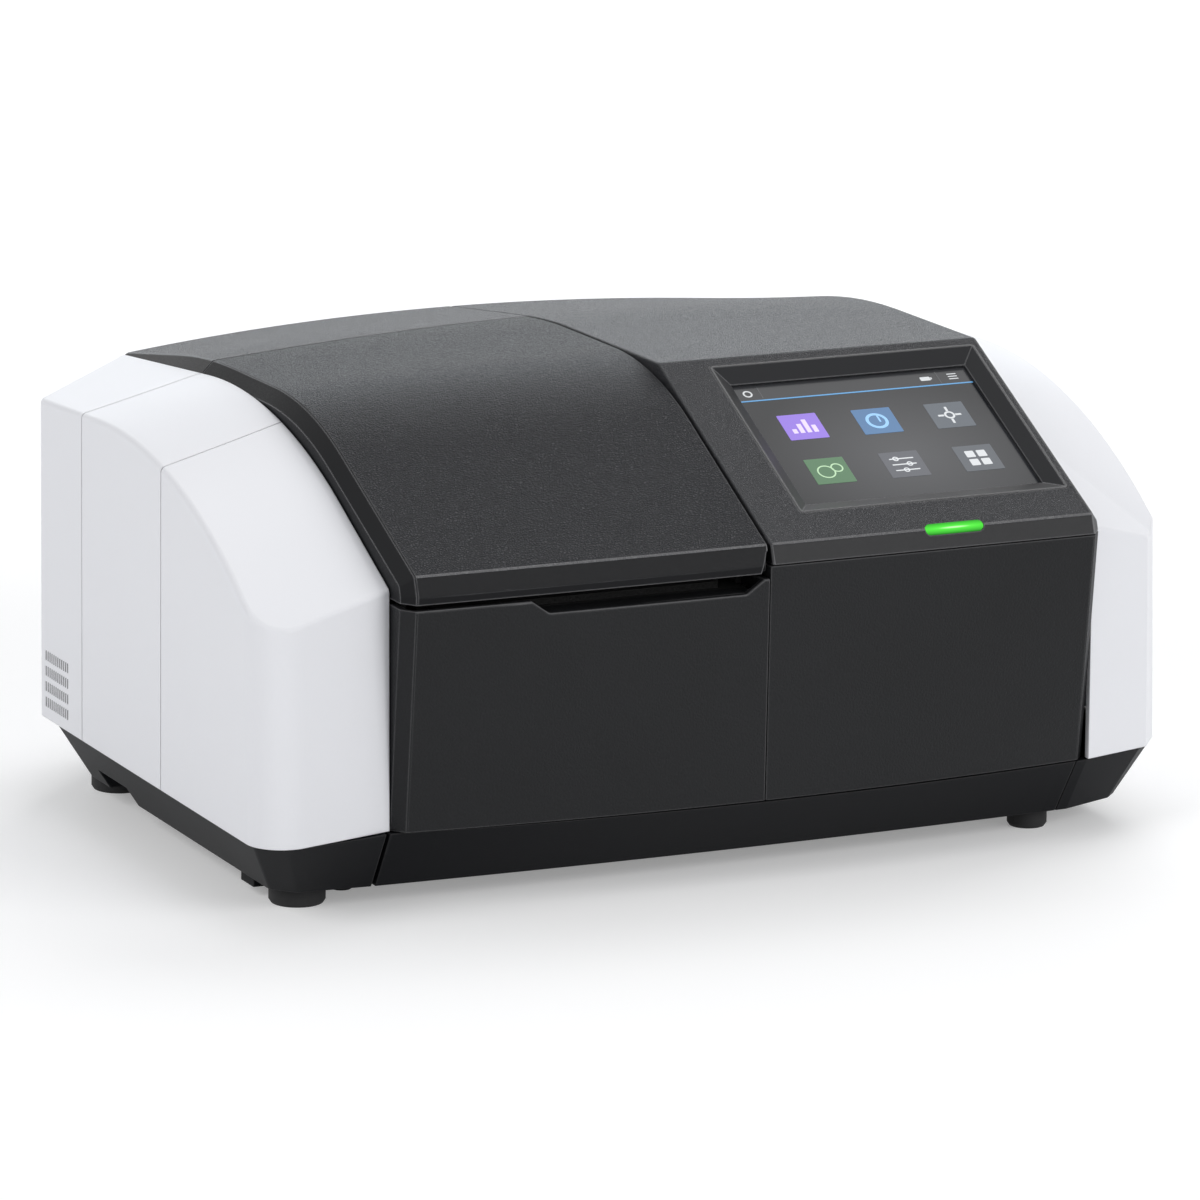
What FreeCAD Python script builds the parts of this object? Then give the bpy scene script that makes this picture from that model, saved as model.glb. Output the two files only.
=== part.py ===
import FreeCAD, Part
import math
import os

# Bench-top double-beam UV-visible spectrophotometer, in millimetres.
# X runs right as seen from the front, Y runs back, Z runs up. The origin is on the
# bench, under the middle of the instrument.

# Overall size
WIDTH = 450.0
DEPTH = 350.0
HEIGHT = 209.5

# Levels, measured up from the bench
FOOT_HEIGHT = 9.3
BASE_HEIGHT = 27.2
PANEL_HEIGHT = HEIGHT - 109.5      # sample front panel
CONTROL_PANEL_HEIGHT = PANEL_HEIGHT + 5.5
BAND_HEIGHT = 8.8           # upright band under the ridge of the top covers
LID_LIP_GAP = 2.6           # between the sample front panel and the lip of the lid
NOTCH_DROP = 6.0            # finger notch in the sample front panel
NOTCH_LEFT = 62.5           # from the lid's left end to the notch
NOTCH_RIGHT = 6.0           # and from the notch to the lid's right end
SEAM = 0.6                  # joint line between two covers
LID_GAP = 1.6               # between the lid and the display's cover

# Plan sizes
LEFT_COVER = 65.5
RIGHT_COVER = 46.5
LID_WIDTH = 172.5
EDGE_BEVEL = 6.0            # bevel along both sides of the dark covers
EDGE_DROP = 7.0
CREST_BACK = 119.0          # front to the crest of the top
FRONT_BOW_TOP = 2.0
FRONT_BOW_BOTTOM = 10.0
REAR_BOW = 12.0
LID_CROWN = 4.5
REAR_CROWN = 7.0
SLOPE_REACH = 18.0          # height of the crest above the rear edge
REAR_LIP = 26.0             # how far the top covers turn down at the rear
LID_BLEND = 170.0           # round of the lid over the crest
CONTROL_BLEND = 4.0
TOP_BLEND = 420.0
EDGE_ROUND = 1.6
EDGE_LEAD = 0.9             # first narrow facet of the bevel, its width and its drop
LEAD_DROP = 0.35
LID_END_ROUND = 1.0
LID_CORNER = 4.5            # cut across the lip's right end
PANEL_ROUND = 0.8
REAR_ROUND = 8.0

# Side covers
LEFT_FRONT = 17.0           # inner front edges, behind the front of the instrument
RIGHT_FRONT = 11.0
COVER_FRONT_Z = HEIGHT - 66.0       # front crease, at the inner and the outer side
COVER_FRONT_FALL = 14.0
COVER_CREST_BACK = 144.0    # crest of the cover's top, behind the front
COVER_CREST_SHIFT = 36.0    # the crest lies further forward at the outer side
COVER_CREST_DROP = 4.0      # inner crest, under the top of the instrument
COVER_CREST_FALL = 12.0
COVER_REAR = 25.0           # inner rear edge, ahead of the rear of the instrument
COVER_REAR_CHAMFER = 62.0
COVER_REAR_Z = HEIGHT - 23.0
COVER_REAR_FALL = 3.0
COVER_BLEND = 270.0
COVER_CORNER = 16.0
COVER_REAR_CORNER = 10.0
COVER_ROUND = 2.5
LEFT_FLARE = 17.0           # how far the outer front corner stands forward of the inner
RIGHT_FLARE = -13.0
RIGHT_FACET = 12.0          # flat across the right front corner
SEAM_FRONT_BACK = 118.0     # the left cover's two joint lines at its outer side, from the
SEAM_REAR_AHEAD = 139.0     # front and from the rear of the instrument
SEAM_SKEW = 20.0            # they run this much back towards the inner side
VENT_ROWS = 4
VENT_COLUMNS = 12
VENT_WIDTH = 1.2
VENT_HEIGHT = 4.6
VENT_PITCH_Y = 2.4
VENT_PITCH_Z = 7.2
VENT_AHEAD = 122.0          # first slot, ahead of the rear of the instrument
VENT_Z = 38.5

# Walls and clearances
WALL = 3.0
TRAY_WALL = 3.0
SKIRT = 20.0                # depth of the rims inside the top covers
FIT = 0.3                   # moving piece to its neighbour
RUNNING = 0.05              # shaft in its bore
SEAT = 0.2                  # fixed piece to its neighbour

# Lid hinge
HINGE_BACK = 210.0          # axis, behind the front
HINGE_DROP = 21.5           # and under the top
TAIL_LEFT = 17.0            # from the axis back to the lid's rear joint line, at the
TAIL_RIGHT = 45.0           # lid's left and right ends
PIN_RADIUS = 2.5
EAR_THICK = 4.0
EAR_RADIUS = 6.5

# Display in the sloped control face
RECESS_WIDTH = 131.0
RECESS_LENGTH = 103.0
RECESS_DEPTH = 4.0
APERTURE_WIDTH = 117.5
APERTURE_LENGTH = 86.0
RECESS_LEFT = 25.0          # from the lid seam to the recess
RECESS_UP = 20.0            # from the ridge up the slope to the recess
GLASS_THICK = 1.5
DISPLAY_THICK = 6.0
LIGHT_WIDTH = 28.5
LIGHT_HEIGHT = 5.0
LIGHT_LEFT = 77.0

# Sample compartment
DECK_Z = HEIGHT - 81.5
DECK_THICK = 3.0
TUB_WIDTH = LID_WIDTH - 36.5
TUB_LENGTH = 134.0
TUB_DEPTH = 74.0            # rim to floor
TUB_WALL = 2.5
BEAM_Z = DECK_Z - 36.0
BEAM_SPACING = 50.0
WINDOW_RADIUS = 8.0
WINDOW_THICK = 2.0
CELL = 12.6                 # square well that takes a 10 mm cell
CELL_DEPTH = 38.0
HOLDER_SIZE = 26.0

# Optical bench
BENCH_Z = DECK_Z - 68.0
BENCH_THICK = 8.0
POST_RADIUS = 7.0

# Fan
FAN_SIZE = 60.0
FAN_THICK = 25.0
FAN_BLADES = 7

# Places that follow from the sizes above
LEFT = -WIDTH / 2
RIGHT = WIDTH / 2
FRONT = -DEPTH / 2
REAR = DEPTH / 2
X_LEFT = LEFT + LEFT_COVER
X_RIGHT = RIGHT - RIGHT_COVER
X_SEAM = X_LEFT + LID_WIDTH
BASE_TOP = FOOT_HEIGHT + BASE_HEIGHT
PANEL_TOP = BASE_TOP + SEAM + PANEL_HEIGHT
LIP_Z = PANEL_TOP + LID_LIP_GAP
CONTROL_LIP_Z = BASE_TOP + SEAM + CONTROL_PANEL_HEIGHT + SEAM
RIDGE_Z = CONTROL_LIP_Z + BAND_HEIGHT
CREST_Y = FRONT + CREST_BACK
RIDGE_Y = FRONT + 3.0
REAR_Z = HEIGHT - SLOPE_REACH
SHOULDER_Y = CREST_Y + 118.0
SHOULDER_Z = HEIGHT - 2.3
SLOPE = math.atan2(HEIGHT - RIDGE_Z, CREST_Y - RIDGE_Y)
HINGE_Y = FRONT + HINGE_BACK
HINGE_Z = HEIGHT - HINGE_DROP

FAR = 500.0
CHEEK_THICK = 2.5
CHEEK_LEFT = X_LEFT + EDGE_BEVEL
CHEEK_RIGHT = X_SEAM - SEAM / 2 - WALL - 0.7
WALL_BACK_Y = HINGE_Y - EAR_RADIUS - 2.0
DECK_FRONT_Y = FRONT + 15.0
LINER_THICK = 2.0
PANEL_RETURN = 25.0
BASE_SET = 2.0              # rim of the base, inside the covers
BASE_DRAW_FRONT = 24.0      # how far its bottom is drawn in
BASE_DRAW_LEFT = 18.0
BASE_DRAW_RIGHT = 12.0
BASE_DRAW_REAR = 12.0
TRAY_BOW_SHARE = 0.92       # how much of the front edge its bow takes up
APRON_DEPTH = 34.0
APRON_GROOVE = 2.0          # open joint at the apron's left end
RIM_CUT = 14.0              # the rim leaves the left rear corner of the cover free
GRIP_Y = REAR - 157.0
GRIP_WIDTH = 34.0
GRIP_HEIGHT = 9.0
GRIP_IN = 32.0
LEFT_FOOT_RADIUS = 12.5
RIGHT_FOOT_RADIUS = 9.0
TUB_LEFT = (CHEEK_LEFT + CHEEK_RIGHT - TUB_WIDTH) / 2
TUB_RIGHT = TUB_LEFT + TUB_WIDTH
TUB_REAR = FRONT + 163.0
TUB_FRONT = TUB_REAR - TUB_LENGTH
HOLDER_PLATE_TOP = DECK_Z + DECK_THICK - TUB_DEPTH + TUB_WALL + 4.1
REAR_PLATE_THICK = 2.0
REAR_PLATE_Y = REAR - COVER_REAR - REAR_PLATE_THICK - 1
FAN_X = X_RIGHT - 46.5
FAN_Z = HEIGHT - 91.5
SWITCH_X = FAN_X - 48.0
INLET_X = SWITCH_X - 39.0
PORT_X = INLET_X - 65.0
PORT_Z = BENCH_Z + 30.0
ROCKER_PIN = 1.2
ROCKER_TILT = 10.0
LAMP_X = X_RIGHT - 82.5
LAMP_Y = REAR - 83.0
FILTER_RING = 16.0
GRATING_X = X_SEAM - 9.0
GRATING_Y = LAMP_Y - 22.0
CAMERA_Y = LAMP_Y - 42.0
EXIT_Y = LAMP_Y - 56.0
MIRROR_X = X_SEAM + 14.0
BENCH_SCREW_RADIUS = 4.0
SOCKET_RADIUS = 2.3
BEZEL_RIM = 1.0
BEZEL_BACK = 1.5
LIGHT_PROUD = -0.4
LIGHT_DEPTH = 6.0

V = FreeCAD.Vector


def save(name, shape):
    shape.exportStep("parts/" + name + ".step")


def box(x0, x1, y0, y1, z0, z1):
    return Part.makeBox(x1 - x0, y1 - y0, z1 - z0, V(x0, y0, z0))


def cylinder(radius, start, axis, length):
    return Part.makeCylinder(radius, length, V(*start), V(*axis))


def inset_points(points, inset):
    """Move every side of a closed outline inward by the inset."""
    count = len(points)
    area = sum(points[i][0] * points[(i + 1) % count][1] - points[(i + 1) % count][0] * points[i][1]
               for i in range(count))
    turn = 1.0 if area > 0 else -1.0
    moved = []
    for i in range(count):
        ax, ay = points[i - 1]
        bx, by = points[i]
        cx, cy = points[(i + 1) % count]
        first = math.hypot(bx - ax, by - ay)
        second = math.hypot(cx - bx, cy - by)
        n1 = (-(by - ay) / first * turn, (bx - ax) / first * turn)
        n2 = (-(cy - by) / second * turn, (cx - bx) / second * turn)
        scale = inset / (1.0 + n1[0] * n2[0] + n1[1] * n2[1])
        moved.append((bx + (n1[0] + n2[0]) * scale, by + (n1[1] + n2[1]) * scale))
    return moved


def outline(points, radii, place):
    """Closed wire through the points, each corner rounded by its own radius."""
    count = len(points)
    starts = []
    ends = []
    mids = []
    for i in range(count):
        corner = V(points[i][0], points[i][1], 0)
        before = V(points[i - 1][0], points[i - 1][1], 0) - corner
        after = V(points[(i + 1) % count][0], points[(i + 1) % count][1], 0) - corner
        before.normalize()
        after.normalize()
        half = before.getAngle(after) / 2
        reach = radii[i] / math.tan(half)
        starts.append(corner + before * reach)
        ends.append(corner + after * reach)
        middle = before + after
        if radii[i]:
            middle.normalize()
        mids.append(corner + middle * (radii[i] / math.sin(half) - radii[i]))
    edges = []
    for i in range(count):
        if radii[i]:
            edges.append(Part.Arc(place(starts[i]), place(mids[i]), place(ends[i])).toShape())
        following = (i + 1) % count
        edges.append(Part.LineSegment(place(ends[i]), place(starts[following])).toShape())
    return Part.Wire(edges)


def across(x):
    return lambda p: V(x, p.x, p.y)


def level(z):
    return lambda p: V(p.x, p.y, z)


def slab(points, z0, z1, radii=None):
    """Plate with an outline in plan."""
    wire = outline(points, radii or [0.0] * len(points), level(z0))
    return Part.Face(wire).extrude(V(0, 0, z1 - z0))


def cheek(points, x0, x1, radii=None):
    """Plate with an outline seen from the side."""
    wire = outline(points, radii or [0.0] * len(points), across(x0))
    return Part.Face(wire).extrude(V(x1 - x0, 0, 0))


def band_points(share, crown, bow):
    """Side outline of the dark covers; share is 0 at the lid seam and 1 at the outer edge."""
    s = share * share
    return [
        (FRONT + 1.5 + FRONT_BOW_BOTTOM * s, BASE_TOP),
        (FRONT + bow * s, CONTROL_LIP_Z),
        (RIDGE_Y + bow * s, RIDGE_Z),
        (CREST_Y, HEIGHT - crown * s),
        (SHOULDER_Y, SHOULDER_Z - crown * s),
        (REAR - REAR_BOW * s, REAR_Z - REAR_CROWN * s),
        (REAR - REAR_BOW * s, BASE_TOP),
    ]


def band_section(x, share, crown, bow, blend, inset):
    points = band_points(share, crown, bow)
    bottom = points[0][1]
    points = inset_points(points, inset)
    points[0] = (points[0][0], bottom)
    points[-1] = (points[-1][0], bottom)
    big = TOP_BLEND - inset
    radii = [0.0, EDGE_ROUND, EDGE_ROUND, max(blend - inset, 1.0), big, max(REAR_ROUND - inset, 1.0), 0.0]
    return outline(points, radii, across(x))


def band(side, inset):
    """Solid of the dark body on one side of the seam, its walls moved inward by the inset."""
    if side == "lid":
        inner_x = X_SEAM
        outer_x = X_LEFT
        crown = LID_CROWN
        bow = FRONT_BOW_TOP
        blend = LID_BLEND
    else:
        inner_x = X_SEAM
        outer_x = X_RIGHT
        crown = 0.6
        bow = 0.0
        blend = CONTROL_BLEND
    sense = 1.0 if outer_x > inner_x else -1.0
    bevel_x = outer_x - sense * EDGE_BEVEL
    steps = 4
    wires = []
    for i in range(steps + 1):
        share = i / steps
        x = inner_x + (bevel_x - inner_x) * share
        wires.append(band_section(x, share, crown, bow, blend, inset))
    body = Part.makeLoft(wires, True, False)
    slanted = [
        band_section(bevel_x, 1.0, crown, bow, blend, inset),
        band_section(bevel_x + sense * EDGE_LEAD, 1.0, crown, bow, blend, inset + LEAD_DROP),
        band_section(outer_x, 1.0, crown, bow, blend, inset + EDGE_DROP),
    ]
    return body.fuse(Part.makeLoft(slanted, True, True))


def cover_shell(side, x0, x1):
    """Wall of the dark body between two planes, with rims along its sides, open below."""
    outer = band(side, 0.0).common(box(x0, x1, -FAR, FAR, 0, FAR))
    hollow = band(side, WALL).common(box(x0 + WALL, x1 - WALL, -FAR, FAR, 0, FAR))
    inside = band(side, SKIRT).common(box(x0 - 1, x1 + 1, -FAR, REAR - REAR_BOW - WALL - 1, 0, FAR))
    return outer.cut(hollow).cut(inside)


def lid_seam_radii():
    """Reach from the hinge axis to the rear joint line at the lid's left and right ends."""
    left = math.hypot(TAIL_LEFT, SHOULDER_Z - LID_CROWN - HINGE_Z)
    right = math.hypot(TAIL_RIGHT, SHOULDER_Z - 1.5 - HINGE_Z)
    return left, right


def lid_region(gap):
    """All that belongs to the lid: ahead of the hinge axis, and inside a cone about it."""
    left, right = lid_seam_radii()
    growth = (right - left) / LID_WIDTH
    margin = 20.0
    cone = Part.makeCone(left + gap - growth * margin, right + gap + growth * margin, LID_WIDTH + 2 * margin,
                         V(X_LEFT - margin, HINGE_Y, HINGE_Z), V(1, 0, 0))
    ahead = box(X_LEFT - margin, X_SEAM + margin, -FAR, HINGE_Y, 0, FAR)
    return ahead.fuse(cone)


def end_edges(side, shape, x):
    """Outer edges of a dark cover's end wall."""
    core = band(side, WALL / 2)
    found = []
    for edge in shape.Edges:
        a, b = edge_ends(edge)
        middle = edge.valueAt((edge.FirstParameter + edge.LastParameter) / 2)
        on_end = max(abs(a.x - x), abs(b.x - x), abs(middle.x - x)) < 0.01
        if on_end and middle.z > LIP_Z + BAND_HEIGHT / 2 and not core.isInside(middle, 0.01, True):
            found.append(edge)
    return found


def lid_shell():
    x1 = X_SEAM - SEAM / 2
    shell = cover_shell("lid", X_LEFT + SEAM / 2, x1)
    shell = shell.cut(box(X_LEFT - 1, X_SEAM + 1, -FAR, FAR, 0, LIP_Z))
    shell = shell.common(lid_region(0.0))
    shell = shell.makeFillet(LID_END_ROUND, end_edges("lid", shell, x1))
    corner = [(x1 - LID_CORNER, LIP_Z - 1), (x1 + 1, LIP_Z - 1), (x1 + 1, RIDGE_Z - 2), (x1 - 1, RIDGE_Z - 3)]
    wire = outline(corner, [0.0] * 4, lambda p: V(p.x, FRONT - 5, p.y))
    return shell.cut(Part.Face(wire).extrude(V(0, LID_CORNER + 5, 0)))


def rear_left_top_cover():
    shell = cover_shell("lid", X_LEFT + SEAM / 2, X_SEAM - SEAM / 2)
    shell = shell.cut(lid_region(SEAM + FIT))
    return shell.cut(box(X_LEFT - 1, X_SEAM + 1, -FAR, FAR, 0, REAR_Z - REAR_LIP))


def lid_liner():
    """Matt inner skin under the lid, between the ears and the front rim."""
    skin = band("lid", WALL + SEAT).cut(band("lid", WALL + SEAT + LINER_THICK))
    reach = box(CHEEK_LEFT + CHEEK_THICK + 2, CHEEK_RIGHT - CHEEK_THICK - 2,
                RIDGE_Y + 26, HINGE_Y - EAR_RADIUS - 6, LIP_Z + 8, FAR)
    return skin.common(reach)


def ear_places():
    return [CHEEK_LEFT + CHEEK_THICK + 6, CHEEK_RIGHT - CHEEK_THICK - 6 - EAR_THICK]


def lid_hinge_ears():
    """Two leaves under the lid, each with an ear that turns on its pin."""
    under_skin = band("lid", WALL + SEAT)
    leaf_under = band("lid", WALL + SEAT + 2.0)
    ears = []
    for x in ear_places():
        web = [(HINGE_Y - EAR_RADIUS, HINGE_Z), (HINGE_Y + EAR_RADIUS, HINGE_Z),
               (HINGE_Y + EAR_RADIUS, FAR), (HINGE_Y - EAR_RADIUS - 4, FAR)]
        ear = cheek(web, x, x + EAR_THICK).fuse(
            cylinder(EAR_RADIUS, (x, HINGE_Y, HINGE_Z), (1, 0, 0), EAR_THICK))
        ear = ear.common(under_skin)
        leaf = under_skin.cut(leaf_under).common(
            box(x - 5, x + EAR_THICK + 5, HINGE_Y - EAR_RADIUS - 5, HINGE_Y + EAR_RADIUS, LIP_Z, FAR))
        bore = cylinder(PIN_RADIUS + RUNNING, (x - 1, HINGE_Y, HINGE_Z), (1, 0, 0), EAR_THICK + 2)
        ears.append(ear.fuse(leaf).cut(bore))
    return Part.makeCompound(ears)


def bracket_span(x):
    """The fixed bracket stands beside its ear, towards the middle of the lid."""
    towards = 1.0 if x < (X_LEFT + X_SEAM) / 2 else -1.0
    start = x + EAR_THICK + FIT if towards > 0 else x - FIT - EAR_THICK
    return start, start + EAR_THICK


def hinge_brackets():
    pieces = []
    for x in ear_places():
        x0, x1 = bracket_span(x)
        back = WALL_BACK_Y + SEAT
        arm = cheek([(back, HINGE_Z - 34), (back + 12, HINGE_Z - 28), (HINGE_Y + EAR_RADIUS, HINGE_Z),
                     (HINGE_Y - EAR_RADIUS, HINGE_Z), (back, HINGE_Z - 18)], x0, x1)
        arm = arm.fuse(cylinder(EAR_RADIUS, (x0, HINGE_Y, HINGE_Z), (1, 0, 0), EAR_THICK))
        foot = box(x0 - 5, x1 + 5, back, back + 2.5, HINGE_Z - 44, HINGE_Z - 26)
        bore = cylinder(PIN_RADIUS, (x0 - 1, HINGE_Y, HINGE_Z), (1, 0, 0), EAR_THICK + 2)
        pieces.append(arm.fuse(foot).cut(bore))
    return Part.makeCompound(pieces)


def hinge_pins():
    """Each pin is fast in its bracket, and the lid's ear turns on it."""
    pins = []
    for x in ear_places():
        x0, x1 = bracket_span(x)
        low = min(x, x0) - 0.5
        high = max(x + EAR_THICK, x1) + 0.5
        pins.append(cylinder(PIN_RADIUS, (low, HINGE_Y, HINGE_Z), (1, 0, 0), high - low))
    return Part.makeCompound(pins)


def front_panel(side, x0, x1, top):
    """Upright front panel with rims turned back along its sides."""
    depth = PANEL_RETURN
    reach = box(x0, x1, -FAR, FRONT + depth, BASE_TOP + SEAM, top)
    hollow = box(x0 + WALL, x1 - WALL, -FAR, FAR, 0, FAR)
    return band(side, 0.0).common(reach).cut(band(side, WALL).common(hollow))


def round_upper_edge(side, panel, low):
    """Round the outer upper edge of a front panel, from its inner end to the bevel."""
    core = band(side, WALL / 2)
    found = []
    for edge in panel.Edges:
        a, b = edge_ends(edge)
        middle = edge.valueAt((edge.FirstParameter + edge.LastParameter) / 2)
        along = abs(a.y - b.y) < 2 and abs(a.x - b.x) > 1
        if along and min(a.z, b.z) > low and edge.Length > 1.2 and middle.y < FRONT + WALL:
            if not core.isInside(middle, 0.01, True):
                found.append(edge)
    return panel.makeFillet(PANEL_ROUND, found)


def sample_front_panel():
    x0 = X_LEFT + SEAM / 2
    x1 = X_SEAM - SEAM / 2
    panel = front_panel("lid", x0, x1, PANEL_TOP)
    notch_floor = PANEL_TOP - NOTCH_DROP
    left = X_LEFT + NOTCH_LEFT
    lead = 10.0
    right = x1 - NOTCH_RIGHT
    cutter = [(left - lead / 2, PANEL_TOP + 1), (left + lead / 2, notch_floor),
              (right - lead / 2, notch_floor), (right + lead / 2, PANEL_TOP + 1)]
    wire = outline(cutter, [0.0, 3.0, 3.0, 0.0], lambda p: V(p.x, FRONT - 5, p.y))
    panel = panel.cut(Part.Face(wire).extrude(V(0, PANEL_RETURN + 10, 0)))
    ledge = box(left, right, FRONT + WALL + 0.6, DECK_FRONT_Y - 0.5, notch_floor - 2.5, notch_floor)
    return round_upper_edge("lid", panel.fuse(ledge), notch_floor - 0.2)


def control_front_panel():
    top = CONTROL_LIP_Z - SEAM
    return front_panel("control", X_SEAM + SEAM / 2, X_RIGHT - SEAM / 2, top)


def slope_place(x, up, out):
    """Place on the sloped control face: across, up the slope from the ridge, and out of it."""
    turn = FreeCAD.Rotation(V(1, 0, 0), math.degrees(SLOPE))
    base = V(x, RIDGE_Y, RIDGE_Z) + turn.multVec(V(0, up, out))
    return FreeCAD.Placement(base, turn)


def screen_place():
    return slope_place(X_SEAM + RECESS_LEFT + RECESS_WIDTH / 2, RECESS_UP + RECESS_LENGTH / 2, 0.0)


def rectangle(width, length):
    w = width / 2
    h = length / 2
    return [(-w, -h), (w, -h), (w, h), (-w, h)]


def sheet(width, length, z0, z1, radius=0.0):
    """Rectangular plate about the local origin."""
    return slab(rectangle(width, length), z0, z1, [radius] * 4)


def placed(shape, placement):
    shape.Placement = placement.multiply(shape.Placement)
    return shape


def light_place():
    """Frame of the status light on the ridge, half way between the band and the slope."""
    band_lean = math.atan2(RIDGE_Y - FRONT, RIDGE_Z - CONTROL_LIP_Z)
    tilt = (band_lean + math.pi / 2 - SLOPE) / 2
    turn = FreeCAD.Rotation(V(1, 0, 0), 90.0 - math.degrees(tilt))
    return FreeCAD.Placement(V(X_SEAM + LIGHT_LEFT + LIGHT_WIDTH / 2, RIDGE_Y, RIDGE_Z), turn)


def light_bar(grow, low, high):
    return placed(sheet(LIGHT_WIDTH + 2 * grow, LIGHT_HEIGHT + 2 * grow, low, high,
                        LIGHT_HEIGHT / 2 + grow - 0.01), light_place())


def control_top_cover():
    x0 = X_SEAM - SEAM / 2 + LID_GAP
    x1 = X_RIGHT - SEAM / 2
    shell = cover_shell("control", x0, x1)
    shell = shell.cut(box(x0 - 1, x1 + 1, -FAR, CREST_Y, 0, CONTROL_LIP_Z))
    shell = shell.cut(box(x0 - 1, x1 + 1, CREST_Y - 1, FAR, 0, REAR_Z - REAR_LIP))
    gap = 2 * (BEZEL_RIM + SEAT)
    window = placed(sheet(RECESS_WIDTH + gap, RECESS_LENGTH + gap, -20, 20, 2.0), screen_place())
    shell = shell.cut(window).cut(light_bar(SEAT, -20.0, 20.0))
    return shell.makeFillet(LID_END_ROUND, end_edges("control", shell, x0))


def screen_bezel():
    """Frame whose four bevelled walls fall from the cover's face to the glass."""
    rim = 2 * BEZEL_RIM
    above = 1.0
    spread = (RECESS_DEPTH + above) / RECESS_DEPTH
    mouth_width = APERTURE_WIDTH + (RECESS_WIDTH - APERTURE_WIDTH) * spread
    mouth_length = APERTURE_LENGTH + (RECESS_LENGTH - APERTURE_LENGTH) * spread
    block = sheet(RECESS_WIDTH + rim, RECESS_LENGTH + rim, -RECESS_DEPTH - BEZEL_BACK, 0, 1.8)
    throat = sheet(APERTURE_WIDTH, APERTURE_LENGTH, -RECESS_DEPTH - BEZEL_BACK - 1, -RECESS_DEPTH + 0.01)
    funnel = Part.makeLoft([
        outline(rectangle(APERTURE_WIDTH, APERTURE_LENGTH), [0.0] * 4, level(-RECESS_DEPTH)),
        outline(rectangle(mouth_width, mouth_length), [0.0] * 4, level(above)),
    ], True, True)
    return placed(block.cut(funnel).cut(throat), screen_place())


def glass_level():
    return -RECESS_DEPTH - BEZEL_BACK


def touch_glass():
    z = glass_level()
    return placed(sheet(APERTURE_WIDTH + 5, APERTURE_LENGTH + 5, z - GLASS_THICK, z, 1.5), screen_place())


def display_module():
    z = glass_level() - GLASS_THICK
    return placed(sheet(APERTURE_WIDTH + 5, APERTURE_LENGTH + 5, z - DISPLAY_THICK, z - 0.05), screen_place())


def display_bracket():
    """Tray behind the display, hung on four posts from the back of the bezel."""
    z = glass_level() - GLASS_THICK - DISPLAY_THICK
    tray = sheet(RECESS_WIDTH, RECESS_LENGTH, z - 1.5, z - 0.05)
    across_posts = (APERTURE_WIDTH + 5 + RECESS_WIDTH) / 4
    along_posts = (APERTURE_LENGTH + 5 + RECESS_LENGTH) / 4
    for sx in (-1, 1):
        for sy in (-1, 1):
            post = cylinder(1.8, (sx * across_posts, sy * along_posts, z - 0.5), (0, 0, 1),
                            glass_level() - z + 0.45)
            tray = tray.fuse(post)
    return placed(tray, screen_place())


def status_light():
    return light_bar(0.0, -LIGHT_DEPTH, LIGHT_PROUD)


def status_light_board():
    depth = LIGHT_DEPTH
    board = sheet(LIGHT_WIDTH + 8, LIGHT_HEIGHT + 3, -depth - 1.7, -depth - 0.1)
    return placed(board, light_place())


def side_points(x_side, front_in, flare, outer, inset):
    """Side outline of a light cover at its inner or its outer side."""
    front = FRONT + front_in - (flare if outer else 0.0)
    front_z = COVER_FRONT_Z - (COVER_FRONT_FALL if outer else 0.0)
    crest_y = FRONT + COVER_CREST_BACK - (COVER_CREST_SHIFT if outer else 0.0)
    crest_z = HEIGHT - COVER_CREST_DROP - (COVER_CREST_FALL if outer else 0.0)
    rear = REAR - COVER_REAR - (COVER_REAR_CHAMFER if outer else 0.0)
    rear_z = COVER_REAR_Z - (COVER_REAR_FALL if outer else 0.0)
    lean = 5.0 if outer else 2.0
    points = [(front, BASE_TOP + SEAM), (front + lean, front_z), (crest_y, crest_z), (rear, rear_z),
              (rear, BASE_TOP + SEAM)]
    points = inset_points(points, inset)
    bottom = BASE_TOP + SEAM - (5.0 if inset else 0.0)
    points[0] = (points[0][0], bottom)
    points[-1] = (points[-1][0], bottom)
    return outline(points, [0.0, 0.0, COVER_BLEND, 0.0, 0.0], across(x_side))


def edge_ends(edge):
    return edge.valueAt(edge.FirstParameter), edge.valueAt(edge.LastParameter)


def upright_edge(body, x_out, front):
    """Upright edge of the outer side, at its front or its rear."""
    found = []
    for edge in body.Edges:
        a, b = edge_ends(edge)
        on_outer = abs(a.x - x_out) < 0.01 and abs(b.x - x_out) < 0.01
        if on_outer and abs(a.z - b.z) > 60 and abs(a.y - b.y) < 10:
            found.append((a.y, edge))
    found.sort(key=lambda pair: pair[0])
    return found[0][1] if front else found[-1][1]


def top_edges(body, x_in, x_out, with_corner):
    """Edges along the front crease, the long outer side and the rear of the sloping top."""
    found = []
    for edge in body.Edges:
        a, b = edge_ends(edge)
        inner_ends = (abs(a.x - x_in) < 0.01) + (abs(b.x - x_in) < 0.01)
        outer_ends = (abs(a.x - x_out) < 0.01) + (abs(b.x - x_out) < 0.01)
        low = min(a.z, b.z) < HEIGHT / 2
        ruled = inner_ends == 1 and min(a.y, b.y) > FRONT + 25 and max(a.y, b.y) < REAR - 35
        corner = outer_ends == 1 and inner_ends == 0 and max(a.y, b.y) < 0
        if low or inner_ends == 2 or ruled or (corner and not with_corner):
            continue
        found.append(edge)
    return found


def side_blank(x_in, x_out, front_in, flare, inset):
    return Part.makeLoft([side_points(x_in, front_in, flare, False, inset),
                          side_points(x_out, front_in, flare, True, inset)], True, True)


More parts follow.
